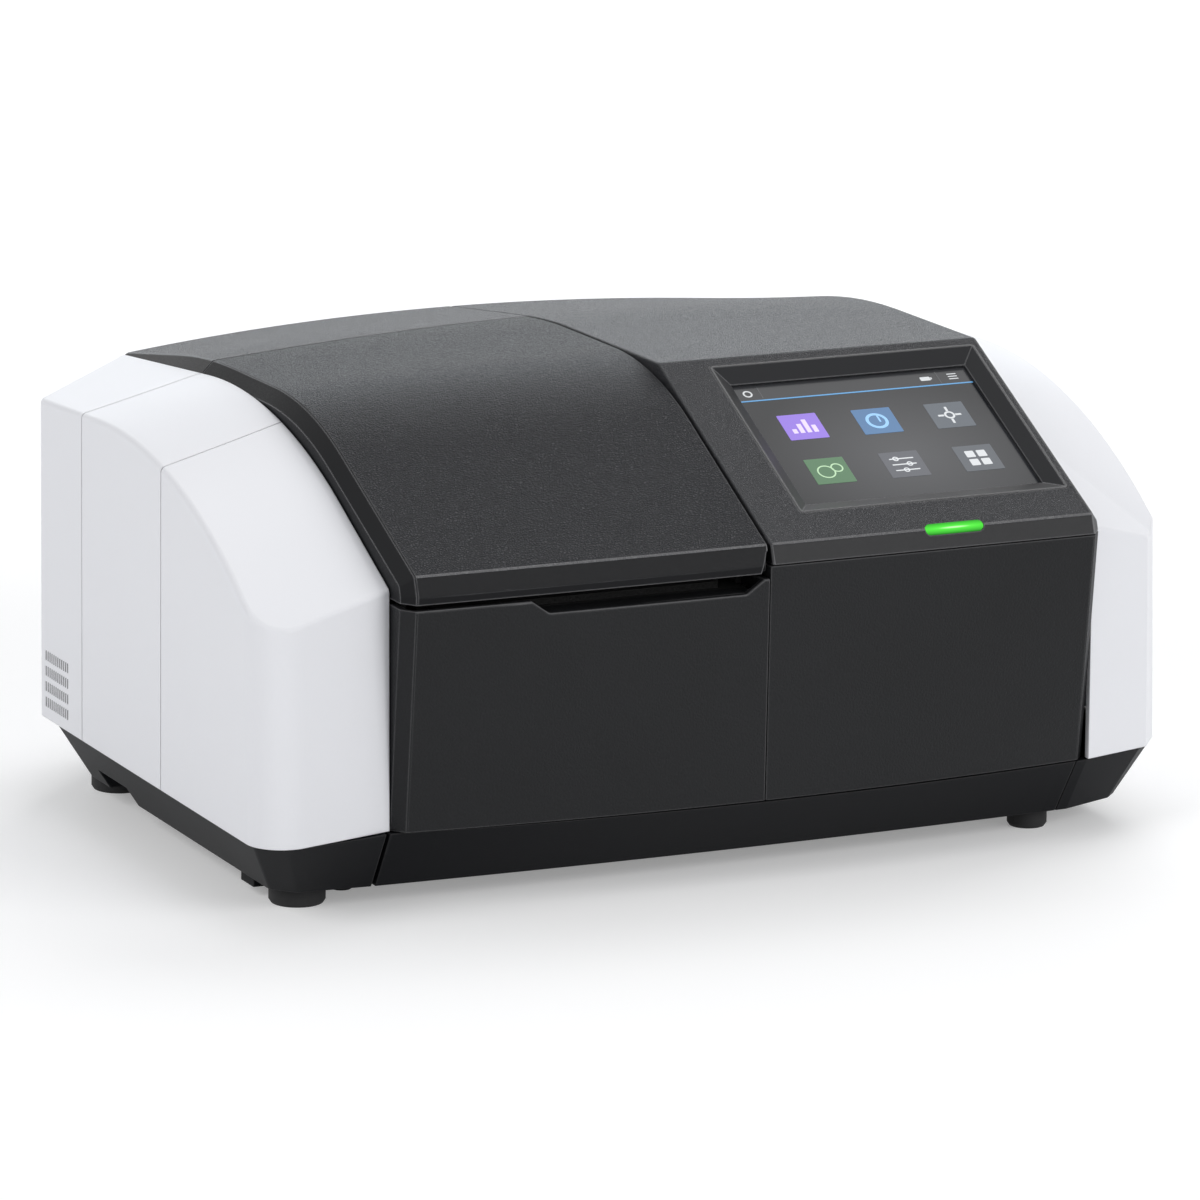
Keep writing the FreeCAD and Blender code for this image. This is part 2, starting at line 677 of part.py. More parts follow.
def left_cover():
    """Light cover of the left side, hollow and open towards the middle."""
    x_in = X_LEFT - SEAM / 2
    body = side_blank(x_in, LEFT, LEFT_FRONT, LEFT_FLARE, 0.0)
    body = body.makeFillet(COVER_CORNER, [upright_edge(body, LEFT, True)])
    body = body.makeFillet(COVER_REAR_CORNER, [upright_edge(body, LEFT, False)])
    body = body.makeFillet(COVER_ROUND, top_edges(body, x_in, LEFT, True))
    hollow = side_blank(x_in + 1, LEFT + WALL, LEFT_FRONT, LEFT_FLARE, WALL)
    hollow = hollow.makeFillet(COVER_CORNER - WALL, [upright_edge(hollow, LEFT + WALL, True)])
    return body.cut(hollow)


def right_side_cover():
    """Light cover of the right side, with a flat across its front corner."""
    x_in = X_RIGHT + SEAM / 2
    body = side_blank(x_in, RIGHT, RIGHT_FRONT, RIGHT_FLARE, 0.0)
    body = body.makeChamfer(RIGHT_FACET, [upright_edge(body, RIGHT, True)])
    body = body.makeFillet(COVER_ROUND, top_edges(body, x_in, RIGHT, False))
    hollow = side_blank(x_in - 1, RIGHT - WALL, RIGHT_FRONT, RIGHT_FLARE, WALL)
    hollow = hollow.makeChamfer(RIGHT_FACET, [upright_edge(hollow, RIGHT - WALL, True)])
    return body.cut(hollow)


def seam_plane_region(y_outer, gap, behind):
    """Half space ahead of or behind one oblique joint line of the left cover."""
    shift = gap / 2 if behind else -gap / 2
    y0 = y_outer + shift
    y1 = y_outer + SEAM_SKEW + shift
    slope = (y1 - y0) / LEFT_COVER
    far_y = FAR if behind else -FAR
    near = (LEFT - 20, y0 - 20 * slope)
    inner = (X_LEFT + 20, y1 + 20 * slope)
    return slab([near, inner, (inner[0], far_y), (near[0], far_y)], 0, FAR)


def left_front_cover():
    return left_cover().common(seam_plane_region(FRONT + SEAM_FRONT_BACK, SEAM, False))


def left_middle_cover():
    part = left_cover().common(seam_plane_region(FRONT + SEAM_FRONT_BACK, SEAM, True))
    return part.common(seam_plane_region(REAR - SEAM_REAR_AHEAD, SEAM, False))


def vent_slots(x_wall):
    slots = []
    for row in range(VENT_ROWS):
        for column in range(VENT_COLUMNS):
            y = REAR - VENT_AHEAD + column * VENT_PITCH_Y
            z = VENT_Z + 4 + row * VENT_PITCH_Z
            slots.append(box(x_wall - 5, x_wall + 5, y, y + VENT_WIDTH, z, z + VENT_HEIGHT))
    return Part.makeCompound(slots)


def left_rear_cover():
    part = left_cover().common(seam_plane_region(REAR - SEAM_REAR_AHEAD, SEAM, True))
    return part.cut(vent_slots(LEFT))


def tray_rim():
    """Plan outline of the base where the covers stand on it."""
    edge = FRONT + BASE_SET + FRONT_BOW_BOTTOM + 1
    left = LEFT + BASE_SET
    right = RIGHT - BASE_SET
    rear = REAR - COVER_REAR - BASE_SET
    chamfer_y = rear - COVER_REAR_CHAMFER
    left_front = FRONT + LEFT_FRONT - LEFT_FLARE + BASE_SET
    right_front = FRONT + RIGHT_FRONT - RIGHT_FLARE + BASE_SET
    return [(X_LEFT, edge + 1.5), (X_SEAM, edge - 2 * (FRONT_BOW_BOTTOM + 1)), (X_RIGHT, edge - 1),
            (right - RIGHT_FACET, right_front - 4), (right, right_front + RIGHT_FACET - 4),
            (right, chamfer_y), (X_RIGHT, rear), (X_LEFT, rear), (left, chamfer_y - RIM_CUT),
            (left, left_front + 16), (left + 12, left_front + 4)]


def tray_foot():
    """Plan outline of the base at its bottom, drawn in all round."""
    edge = FRONT + BASE_SET + BASE_DRAW_FRONT + 4
    left = LEFT + BASE_SET + BASE_DRAW_LEFT
    right = RIGHT - BASE_SET - BASE_DRAW_RIGHT
    rear = REAR - COVER_REAR - BASE_SET - BASE_DRAW_REAR
    chamfer_y = rear - COVER_REAR_CHAMFER
    return [(X_LEFT, edge), (X_SEAM, edge - 8), (X_RIGHT, edge), (right - 6, edge + 10), (right, edge + 16),
            (right, chamfer_y), (X_RIGHT - 6, rear), (X_LEFT + 8, rear), (left, chamfer_y), (left, edge + 13),
            (left + 9, edge + 3)]


def blend_radius(points, i, share):
    """Radius that rounds one corner over this share of its shorter side."""
    corner = V(points[i][0], points[i][1], 0)
    before = V(points[i - 1][0], points[i - 1][1], 0) - corner
    after = V(points[i + 1][0], points[i + 1][1], 0) - corner
    return share * min(before.Length, after.Length) * math.tan(before.getAngle(after) / 2)


def tray_wire(points, inset, z):
    points = inset_points(points, inset)
    radii = [0.0, blend_radius(points, 1, TRAY_BOW_SHARE)] + [0.0] * (len(points) - 4) + [3.0, 3.0]
    return outline(points, radii, level(z))


def tray_body(inset, lift):
    return Part.makeLoft([tray_wire(tray_foot(), inset, FOOT_HEIGHT + lift),
                          tray_wire(tray_rim(), inset, BASE_TOP + lift)], True, True)


def grip_notch(side, grow):
    x_in = side * (RIGHT - GRIP_IN - grow)
    x_out = side * (RIGHT + 10)
    return box(min(x_in, x_out), max(x_in, x_out), GRIP_Y - grow, GRIP_Y + GRIP_WIDTH + grow, 0,
               FOOT_HEIGHT + GRIP_HEIGHT + grow)


def apron_region(gap, groove):
    return box(X_LEFT - 1.0 - groove, X_RIGHT - 6.0 + gap, -FAR, FRONT + APRON_DEPTH + gap, 0, FAR)


def post_places():
    back = REAR_PLATE_Y - 19
    return [(LEFT + 34, FRONT + 50), (LEFT + 40, REAR - 123), (LEFT + 98, back), (X_LEFT + 89.5, REAR - 115),
            (X_SEAM + 12, FRONT + 58), (X_RIGHT - 118.5, back - 8), (X_RIGHT - 20, back)]


def base_shell():
    return tray_body(0.0, 0.0).cut(tray_body(TRAY_WALL, TRAY_WALL))


def base_tray():
    """Lower housing: an open tray with posts for the bench, foot pads and two hand grips."""
    shell = base_shell()
    inner = tray_body(TRAY_WALL, TRAY_WALL)
    for side in (-1, 1):
        roof = grip_notch(side, TRAY_WALL).common(inner)
        shell = shell.fuse(roof).cut(grip_notch(side, 0.0))
    shell = shell.cut(apron_region(SEAM, APRON_GROOVE))
    floor = FOOT_HEIGHT + TRAY_WALL - 0.5
    for x, y in post_places():
        shell = shell.fuse(cylinder(POST_RADIUS, (x, y, floor), (0, 0, 1), BENCH_Z - floor))
    pad = box(LEFT + 22, LEFT + 48, FRONT + 65, FRONT + 79, FOOT_HEIGHT - 5, FOOT_HEIGHT + 0.5)
    nub = cylinder(4.5, (LEFT + 56, FRONT + 48, FOOT_HEIGHT - 4.5), (0, 0, 1), 5.0)
    for x in (LEFT + BASE_SET + 0.2, RIGHT - BASE_SET - 2.2):
        for y in (FRONT + 60, FRONT + 155, REAR - 122):
            shell = shell.fuse(box(x, x + 2.0, y, y + 12, BASE_TOP - 1, BASE_TOP + SEAM - 0.1))
    return shell.fuse(pad).fuse(nub)


def front_apron():
    return base_shell().common(apron_region(0.0, 0.0))


def foot(x, y, radius):
    tread = Part.makeCone(radius - 1.0, radius, 1.5, V(x, y, 0))
    return tread.fuse(cylinder(radius, (x, y, 1.5), (0, 0, 1), FOOT_HEIGHT - 1.5))


def left_feet():
    return Part.makeCompound([foot(LEFT + 37, FRONT + 52, LEFT_FOOT_RADIUS),
                              foot(LEFT + 37, REAR - 91, LEFT_FOOT_RADIUS)])


def right_feet():
    return Part.makeCompound([foot(RIGHT - 59, FRONT + 44, RIGHT_FOOT_RADIUS),
                              foot(RIGHT - 59, REAR - 75, RIGHT_FOOT_RADIUS)])


def bench_outline():
    back = REAR_PLATE_Y - 8
    return [(LEFT + 26, FRONT + 38), (TUB_LEFT - 3, FRONT + 38), (TUB_LEFT - 3, TUB_REAR + 3),
            (TUB_RIGHT + 3, TUB_REAR + 3), (TUB_RIGHT + 3, FRONT + 38), (X_SEAM + 29, FRONT + 38),
            (X_SEAM + 29, FRONT + 195), (X_RIGHT - 10, FRONT + 195), (X_RIGHT - 10, back), (LEFT + 78, back),
            (LEFT + 26, back - COVER_REAR_CHAMFER + 10)]


def optical_bench():
    """Thick plate around the sample compartment that carries every optical part."""
    plate = slab(bench_outline(), BENCH_Z + SEAT, BENCH_Z + BENCH_THICK)
    hole = cylinder(5.0, (GRATING_X, GRATING_Y, BENCH_Z - 5), (0, 0, 1), BENCH_THICK + 10)
    return plate.cut(hole)


def compartment_frame():
    """Deck round the compartment, with a cheek each side that follows the lid, and a rear wall."""
    x0 = CHEEK_LEFT
    x1 = CHEEK_RIGHT
    deck = box(x0, x1, DECK_FRONT_Y, WALL_BACK_Y, DECK_Z, DECK_Z + DECK_THICK)
    deck = deck.cut(box(TUB_LEFT - SEAT, TUB_RIGHT + SEAT, TUB_FRONT - SEAT, TUB_REAR + SEAT, 0, FAR))
    rear = box(x0, x1, WALL_BACK_Y - 3, WALL_BACK_Y, DECK_Z, HINGE_Z - 14)
    sides = band("lid", WALL + 1.5)
    for a in (x0, x1 - CHEEK_THICK):
        reach = box(a, a + CHEEK_THICK, DECK_FRONT_Y + 6, WALL_BACK_Y, DECK_Z, FAR)
        deck = deck.fuse(sides.common(reach))
    deck = deck.fuse(rear)
    back = TUB_REAR + 24
    for x, y in ((x0 + 5, FRONT + 46), (x0 + 5, back), (x1 - 6, FRONT + 46), (x1 - 6, back)):
        foot_z = BENCH_Z + BENCH_THICK + SEAT
        deck = deck.fuse(cylinder(4.0, (x, y, foot_z), (0, 0, 1), DECK_Z + 0.5 - foot_z))
    return deck


def beam_places():
    middle = (TUB_FRONT + TUB_REAR) / 2
    return [middle - BEAM_SPACING / 2, middle + BEAM_SPACING / 2]


def compartment_tub():
    """Open box that hangs in the deck by its rim, with four beam ports."""
    top = DECK_Z + DECK_THICK
    floor = top - TUB_DEPTH
    outer = box(TUB_LEFT, TUB_RIGHT, TUB_FRONT, TUB_REAR, floor, top + 1)
    rim = box(TUB_LEFT - 4, TUB_RIGHT + 4, TUB_FRONT - 4, TUB_REAR + 4, top + SEAT / 2, top + 2)
    inner = box(TUB_LEFT + TUB_WALL, TUB_RIGHT - TUB_WALL, TUB_FRONT + TUB_WALL, TUB_REAR - TUB_WALL,
                floor + TUB_WALL, FAR)
    tub = outer.fuse(rim).cut(inner)
    for y in beam_places():
        tub = tub.cut(cylinder(WINDOW_RADIUS, (TUB_LEFT - 5, y, BEAM_Z), (1, 0, 0), TUB_WIDTH + 10))
    return tub


def beam_windows():
    panes = []
    for y in beam_places():
        for x in (TUB_LEFT, TUB_RIGHT - WINDOW_THICK):
            panes.append(cylinder(WINDOW_RADIUS - 0.05, (x, y, BEAM_Z), (1, 0, 0), WINDOW_THICK))
    return Part.makeCompound(panes)


def cell_holder(y):
    """Block with a square well for a 10 mm cell and a beam passage."""
    x = (TUB_LEFT + TUB_RIGHT) / 2
    h = HOLDER_SIZE / 2
    z0 = HOLDER_PLATE_TOP + SEAT / 2
    top = BEAM_Z + CELL_DEPTH / 2 + 2
    block = box(x - h, x + h, y - h, y + h, z0, top)
    block = block.cut(box(x - CELL / 2, x + CELL / 2, y - CELL / 2, y + CELL / 2, top - CELL_DEPTH, FAR))
    return block.cut(box(x - h - 1, x + h + 1, y - 4, y + 4, BEAM_Z - 8, BEAM_Z + 8))


def sample_cell_holder():
    return cell_holder(beam_places()[0])


def reference_cell_holder():
    return cell_holder(beam_places()[1])


def holder_plate():
    x = (TUB_LEFT + TUB_RIGHT) / 2
    y = (TUB_FRONT + TUB_REAR) / 2
    plate = box(x - 30, x + 30, y - 50, y + 50, HOLDER_PLATE_TOP - 4, HOLDER_PLATE_TOP)
    for dx in (-25.0, 25.0):
        for dy in (-45.0, 45.0):
            plate = plate.cut(cylinder(2.1, (x + dx, y + dy, HOLDER_PLATE_TOP - 5), (0, 0, 1), 10.0))
    return plate


def light_seal():
    """Foam strip on the deck behind the lip of the lid."""
    z = DECK_Z + DECK_THICK
    return box(TUB_LEFT, TUB_RIGHT, DECK_FRONT_Y + 2, DECK_FRONT_Y + 7, z + 0.1, z + 3)


def rear_panel():
    """Sheet-metal rear wall with the openings for the fan, the inlet, the switch and the ports."""
    y0 = REAR_PLATE_Y
    y1 = REAR_PLATE_Y + REAR_PLATE_THICK
    low_top = REAR_Z - REAR_LIP - 2
    panel = box(X_LEFT + SEAM, X_RIGHT - SEAM, y0, y1, BASE_TOP + SEAT, low_top)
    for side, a, b in (("lid", X_LEFT + 7, X_SEAM - 5), ("control", X_SEAM + 5, X_RIGHT - 7)):
        raised = box(a, b, y0, y1, low_top - 1, FAR).common(band(side, WALL + SEAT))
        panel = panel.fuse(raised)
    panel = panel.cut(box(INLET_X - 24, INLET_X + 24, y0 - 1, y1 + 1, PORT_Z - 14, PORT_Z + 14))
    panel = panel.cut(box(SWITCH_X - 10.5, SWITCH_X + 10.5, y0 - 1, y1 + 1, PORT_Z - 14, PORT_Z + 14))
    for x in port_places():
        panel = panel.cut(box(x - 7.2, x + 7.2, y0 - 1, y1 + 1, PORT_Z - 4.2, PORT_Z + 4.2))
    slots = []
    for i in range(-4, 5):
        reach = math.sqrt(27.0 ** 2 - (i * 6.0) ** 2)
        z = FAN_Z + i * 6.0
        slots.append(box(FAN_X - reach, FAN_X + reach, y0 - 1, y1 + 1, z - 2, z + 2))
    return panel.cut(Part.makeCompound(slots))


def port_places():
    return [PORT_X - 12.0, PORT_X + 12.0]


def data_ports():
    y1 = REAR_PLATE_Y + REAR_PLATE_THICK
    ports = []
    for x in port_places():
        shell = box(x - 7.0, x + 7.0, y1 - 14, y1 + 0.5, PORT_Z - 4.0, PORT_Z + 4.0)
        socket = box(x - 6.4, x + 6.4, y1 - 9, y1 + 1, PORT_Z - 3.0, PORT_Z + 3.0)
        tongue = box(x - 5.5, x + 5.5, y1 - 9.5, y1 - 0.5, PORT_Z + 0.4, PORT_Z + 2.2)
        ports.append(shell.cut(socket).fuse(tongue))
    return Part.makeCompound(ports)


def power_inlet():
    """Three-pin inlet: a flanged body with a chamfered socket and three blades."""
    y1 = REAR_PLATE_Y + REAR_PLATE_THICK
    body = box(INLET_X - 23.8, INLET_X + 23.8, y1 - 22, y1 + 0.2, PORT_Z - 13.8, PORT_Z + 13.8)
    flange = box(INLET_X - 26, INLET_X + 26, y1 + 0.1, y1 + 2.5, PORT_Z - 16, PORT_Z + 16)
    w = 12.2
    h = 8.2
    c = 4.0
    mouth = [(INLET_X - w, PORT_Z - h), (INLET_X + w, PORT_Z - h), (INLET_X + w, PORT_Z + h - c),
             (INLET_X + w - c, PORT_Z + h), (INLET_X - w + c, PORT_Z + h), (INLET_X - w, PORT_Z + h - c)]
    wire = outline(mouth, [0.0] * 6, lambda p: V(p.x, y1 - 16, p.y))
    inlet = body.fuse(flange).cut(Part.Face(wire).extrude(V(0, 30, 0)))
    for dx, dz in ((-7.0, -2.0), (0.0, 2.0), (7.0, -2.0)):
        x = INLET_X + dx
        z = PORT_Z + dz
        inlet = inlet.fuse(box(x - 1.0, x + 1.0, y1 - 17, y1 - 4, z - 2.0, z + 2.0))
    return inlet


def switch_frame():
    y1 = REAR_PLATE_Y + REAR_PLATE_THICK
    body = box(SWITCH_X - 10.3, SWITCH_X + 10.3, y1 - 18, y1 + 0.2, PORT_Z - 13.8, PORT_Z + 13.8)
    flange = box(SWITCH_X - 12, SWITCH_X + 12, y1 + 0.1, y1 + 2.0, PORT_Z - 16, PORT_Z + 16)
    well = box(SWITCH_X - 8.3, SWITCH_X + 8.3, y1 - 12, y1 + 5, PORT_Z - 11.5, PORT_Z + 11.5)
    pin = cylinder(ROCKER_PIN, (SWITCH_X - 8.5, rocker_pivot_y(), PORT_Z), (1, 0, 0), 17.0)
    return body.fuse(flange).cut(well).fuse(pin)


def rocker_pivot_y():
    return REAR_PLATE_Y + REAR_PLATE_THICK - 5.0


def power_rocker():
    """Rocker that tips about a cross pin inside its frame."""
    y = rocker_pivot_y()
    wings = [(y + 8.0, PORT_Z - 9.8), (y + 5.6, PORT_Z), (y + 8.0, PORT_Z + 9.8), (y + 1.0, PORT_Z + 9.6),
             (y - 5.0, PORT_Z), (y + 1.0, PORT_Z - 9.6)]
    rocker = cheek(wings, SWITCH_X - 8.0, SWITCH_X + 8.0)
    rocker = rocker.cut(cylinder(ROCKER_PIN + RUNNING, (SWITCH_X - 9, y, PORT_Z), (1, 0, 0), 18.0))
    rocker.rotate(V(SWITCH_X, y, PORT_Z), V(1, 0, 0), -ROCKER_TILT)
    return rocker


def fan_frame():
    y1 = REAR_PLATE_Y - SEAT
    y0 = y1 - FAN_THICK
    h = FAN_SIZE / 2
    frame = box(FAN_X - h, FAN_X + h, y0, y1, FAN_Z - h, FAN_Z + h)
    frame = frame.cut(cylinder(h - 1.5, (FAN_X, y0 - 1, FAN_Z), (0, 1, 0), FAN_THICK + 2))
    hub = cylinder(11.0, (FAN_X, y0, FAN_Z), (0, 1, 0), 3.0)
    for k in range(3):
        arm = box(FAN_X - 1.5, FAN_X + 1.5, y0, y0 + 3.0, FAN_Z, FAN_Z + h - 1.0)
        arm.rotate(V(FAN_X, y0, FAN_Z), V(0, 1, 0), 120.0 * k + 30)
        hub = hub.fuse(arm)
    shaft = cylinder(1.5, (FAN_X, y0 + 2, FAN_Z), (0, 1, 0), 12.0)
    return frame.fuse(hub).fuse(shaft)


def fan_rotor():
    y1 = REAR_PLATE_Y - SEAT
    y0 = y1 - FAN_THICK + 3.5
    length = FAN_THICK - 6.0
    hub = cylinder(11.0, (FAN_X, y0, FAN_Z), (0, 1, 0), length)
    hub = hub.cut(cylinder(1.5 + RUNNING, (FAN_X, y0 - 1, FAN_Z), (0, 1, 0), 12.5))
    for k in range(FAN_BLADES):
        blade = box(-0.7, 0.7, -length / 2 + 1, length / 2 - 1, 10.0, FAN_SIZE / 2 - 3.0)
        blade.rotate(V(0, 0, 0), V(0, 0, 1), 32.0)
        blade.translate(V(FAN_X, y0 + length / 2, FAN_Z))
        blade.rotate(V(FAN_X, y0, FAN_Z), V(0, 1, 0), 360.0 * k / FAN_BLADES)
        hub = hub.fuse(blade)
    return hub


def power_supply():
    """Sheet case under the bench, open above like a tray over its board."""
    z = FOOT_HEIGHT + TRAY_WALL
    top = BENCH_Z - 9.7
    x0 = X_RIGHT - 103.5
    x1 = x0 + 60
    y0 = REAR - 125
    y1 = REAR - 43
    wall = 1.2
    case = box(x0, x1, y0, y1, z + SEAT, top)
    return case.cut(box(x0 + wall, x1 - wall, y0 + wall, y1 - wall, (z + top) / 2, top + 1))


def main_board():
    z = FOOT_HEIGHT + TRAY_WALL + 8
    x0 = X_RIGHT - 120.5
    x1 = X_RIGHT - 8
    y0 = FRONT + 45
    y1 = FRONT + 210
    board = box(x0, x1, y0, y1, z, z + 1.6)
    parts = ((20, 30, 30, 30, 6), (70, 40, 14, 14, 3), (70, 80, 22, 16, 12), (25, 110, 40, 12, 9))
    for dx, dy, w, d, h in parts:
        board = board.fuse(box(x0 + dx, x0 + dx + w, y0 + dy, y0 + dy + d, z + 1.5, z + 1.6 + h))
    for x in (x0 + 5, x1 - 5):
        for y in (y0 + 5, y1 - 5):
            board = board.fuse(cylinder(3.0, (x, y, z - 8 + SEAT / 2), (0, 0, 1), 8.2))
    return board


def lamp_house():
    """Ventilated sheet box round the two lamps, open above, with a port for the beam."""
    z = BENCH_Z + BENCH_THICK + SEAT / 2
    house = box(LAMP_X, LAMP_X + 66, LAMP_Y - 36, LAMP_Y + 26, z, z + 78)
    house = house.cut(box(LAMP_X + 1.5, LAMP_X + 64.5, LAMP_Y - 34.5, LAMP_Y + 24.5, z + 1.5, FAR))
    house = house.cut(cylinder(6.0, (LAMP_X - 2, LAMP_Y, BEAM_Z), (1, 0, 0), 8.0))
    slots = [box(LAMP_X + 12 + i * 10, LAMP_X + 16 + i * 10, LAMP_Y - 50, LAMP_Y + 50, z + 45, z + 70)
             for i in range(5)]
    return house.cut(Part.makeCompound(slots))


def lamp_floor():
    return BENCH_Z + BENCH_THICK + SEAT / 2 + 1.5


def deuterium_lamp():
    x = LAMP_X + 44
    z = lamp_floor() + 0.1
    base = cylinder(13.0, (x, LAMP_Y + 8, z), (0, 0, 1), 8.0)
    bulb = cylinder(11.0, (x, LAMP_Y + 8, z + 7.5), (0, 0, 1), 38.0)
    tip = Part.makeCone(11.0, 7.0, 5.0, V(x, LAMP_Y + 8, z + 45.5))
    return base.fuse(bulb).fuse(tip)


def halogen_lamp():
    x = LAMP_X + 44
    z = lamp_floor() + 0.1
    base = box(x - 8, x + 8, LAMP_Y - 30, LAMP_Y - 14, z, z + 14)
    bulb = cylinder(5.0, (x, LAMP_Y - 22, z + 13.5), (0, 0, 1), 16.0)
    return base.fuse(bulb).fuse(Part.makeCone(5.0, 1.5, 4.0, V(x, LAMP_Y - 22, z + 29.5)))


def lamp_mirror():
    """Mirror on a turning post that picks one lamp or the other."""
    z = lamp_floor() + FIT
    post = cylinder(4.0, (LAMP_X + 18, LAMP_Y, z), (0, 0, 1), 12.0)
    plate = box(LAMP_X + 16.5, LAMP_X + 19.5, LAMP_Y - 9, LAMP_Y + 9, z + 11.5, z + 36)
    return post.fuse(plate)


def filter_wheel():
    """Disc of order-sorting filters on a motor shaft."""
    x = LAMP_X - 14
    z = BEAM_Z + FILTER_RING
    disc = cylinder(FILTER_RING + 7, (x, LAMP_Y, z), (1, 0, 0), 2.5)
    for k in range(6):
        a = 2 * math.pi * k / 6
        middle = (x - 1, LAMP_Y + FILTER_RING * math.sin(a), z - FILTER_RING * math.cos(a))
        disc = disc.cut(cylinder(4.5, middle, (1, 0, 0), 5.0))
    boss = cylinder(4.0, (x - 4, LAMP_Y, z), (1, 0, 0), 4.5)
    return disc.fuse(boss).cut(cylinder(1.5 + RUNNING, (x - 5, LAMP_Y, z), (1, 0, 0), 9.0))


def filter_motor():
    x = LAMP_X - 14
    z = BEAM_Z + FILTER_RING
    body = cylinder(9.0, (x - 20, LAMP_Y, z), (1, 0, 0), 15.0)
    shaft = cylinder(1.5, (x - 6, LAMP_Y, z), (1, 0, 0), 8.0)
    stand = box(x - 20, x - 17, LAMP_Y - 10, LAMP_Y - 5.5, BENCH_Z + BENCH_THICK + SEAT / 2, z)
    stand2 = box(x - 20, x - 17, LAMP_Y + 5.5, LAMP_Y + 10, BENCH_Z + BENCH_THICK + SEAT / 2, z)
    return body.fuse(shaft).fuse(stand).fuse(stand2)


def slit_plates():
    z = BENCH_Z + BENCH_THICK + SEAT / 2
    plates = []
    for x, y in ((LAMP_X - 43, LAMP_Y), (GRATING_X + 9, EXIT_Y)):
        plate = box(x, x + 2, y - 11, y + 11, z, BEAM_Z + 16)
        foot_piece = box(x - 8, x + 2, y - 11, y + 11, z, z + 2)
        plates.append(plate.fuse(foot_piece).cut(box(x - 1, x + 3, y - 0.5, y + 0.5, BEAM_Z - 5, BEAM_Z + 5)))
    return Part.makeCompound(plates)


def concave_mirrors():
    """Collimating and camera mirrors, each a hollowed disc in an upright mount."""
    z = BENCH_Z + BENCH_THICK + SEAT / 2
    mirrors = []
    for y in (LAMP_Y, CAMERA_Y):
        x = LEFT + 64
        mount = box(x - 14, x, y - 19, y + 19, z, BEAM_Z + 19)
        disc = cylinder(17.0, (x - 1, y, BEAM_Z), (1, 0, 0), 6.0)
        hollow = Part.makeSphere(90.0, V(x + 5 + 88.5, y, BEAM_Z))
        mirrors.append(mount.fuse(disc).cut(hollow))
    return Part.makeCompound(mirrors)


def grating_table():
    """Grating on a turntable that the stepper motor under the bench turns."""
    z = BENCH_Z + BENCH_THICK + FIT
    table = cylinder(14.0, (GRATING_X, GRATING_Y, z), (0, 0, 1), 5.0)
    block = box(GRATING_X - 4, GRATING_X + 4, GRATING_Y - 13, GRATING_Y + 13, z + 4.5, z + 36)
    bore = cylinder(2.5 + RUNNING, (GRATING_X, GRATING_Y, z - 1), (0, 0, 1), 12.0)
    return table.fuse(block).cut(bore)


def grating_motor():
    z = BENCH_Z + SEAT - 0.1
    body = box(GRATING_X - 17, GRATING_X + 17, GRATING_Y - 17, GRATING_Y + 17, z - 22, z)
    return body.fuse(cylinder(2.5, (GRATING_X, GRATING_Y, z - 1), (0, 0, 1), BENCH_THICK + 10))


def fold_mirrors():
    """Flat mirrors on stands that lead the light to the two beam paths."""
    z = BENCH_Z + BENCH_THICK + SEAT / 2
    mirrors = []
    for y, angle in ((EXIT_Y, -45.0), (beam_places()[0], 45.0)):
        stand = cylinder(6.0, (MIRROR_X, y, z), (0, 0, 1), 14.0)
        plate = box(-1.5, 1.5, -12, 12, 0, 26)
        plate.rotate(V(0, 0, 0), V(0, 0, 1), angle)
        plate.translate(V(MIRROR_X, y, z + 13.5))
        mirrors.append(stand.fuse(plate))
    return Part.makeCompound(mirrors)


def beam_splitter():
    z = BENCH_Z + BENCH_THICK + SEAT / 2
    y = beam_places()[1]
    stand = cylinder(6.0, (MIRROR_X, y, z), (0, 0, 1), 14.0)
    plate = box(-1.0, 1.0, -12, 12, 0, 26)
    plate.rotate(V(0, 0, 0), V(0, 0, 1), 45.0)
    plate.translate(V(MIRROR_X, y, z + 13.5))
    return stand.fuse(plate)


def detectors():
    """Two photodiode housings whose tubes look at the left-hand windows."""
    z = BENCH_Z + BENCH_THICK + SEAT / 2
    pieces = []
    for y in beam_places():
        x = TUB_LEFT - 22
        housing = box(x - 24, x, y - 12, y + 12, z, BEAM_Z + 14)
        tube = cylinder(8.0, (x - 1, y, BEAM_Z), (1, 0, 0), 18.0)
        hole = cylinder(5.5, (x - 4, y, BEAM_Z), (1, 0, 0), 25.0)
        pieces.append(housing.fuse(tube).cut(hole))
    return Part.makeCompound(pieces)


def rear_screws():
    """Pan-head screws along the rear panel."""
    y1 = REAR_PLATE_Y + REAR_PLATE_THICK
    screws = []
    for x in (X_LEFT + 10, X_LEFT + 80, X_SEAM - 20, X_SEAM + 30, X_RIGHT - 10):
        for z in (BASE_TOP + 6, REAR_Z - REAR_LIP - 10):
            head = cylinder(3.5, (x, y1 + 0.1, z), (0, 1, 0), 2.2)
            slot = box(x - 1.8, x + 1.8, y1 + 1.2, y1 + 3, z - 0.4, z + 0.4)
            cross = box(x - 0.4, x + 0.4, y1 + 1.2, y1 + 3, z - 1.8, z + 1.8)
            screws.append(head.cut(slot.fuse(cross)))
    return Part.makeCompound(screws)


def bench_screws():
    screws = []
    z = BENCH_Z + BENCH_THICK
    for x, y in post_places():
        head = cylinder(BENCH_SCREW_RADIUS, (x, y, z + 0.1), (0, 0, 1), 4.0)
        socket = []
        for k in range(6):
            a = math.pi * k / 3
            socket.append((x + SOCKET_RADIUS * math.cos(a), y + SOCKET_RADIUS * math.sin(a)))
        screws.append(head.cut(slab(socket, z + 1.6, z + 5)))
    return Part.makeCompound(screws)


def build():
    os.makedirs("parts", exist_ok=True)
    for name, maker in PIECES.items():
        save(name, maker())


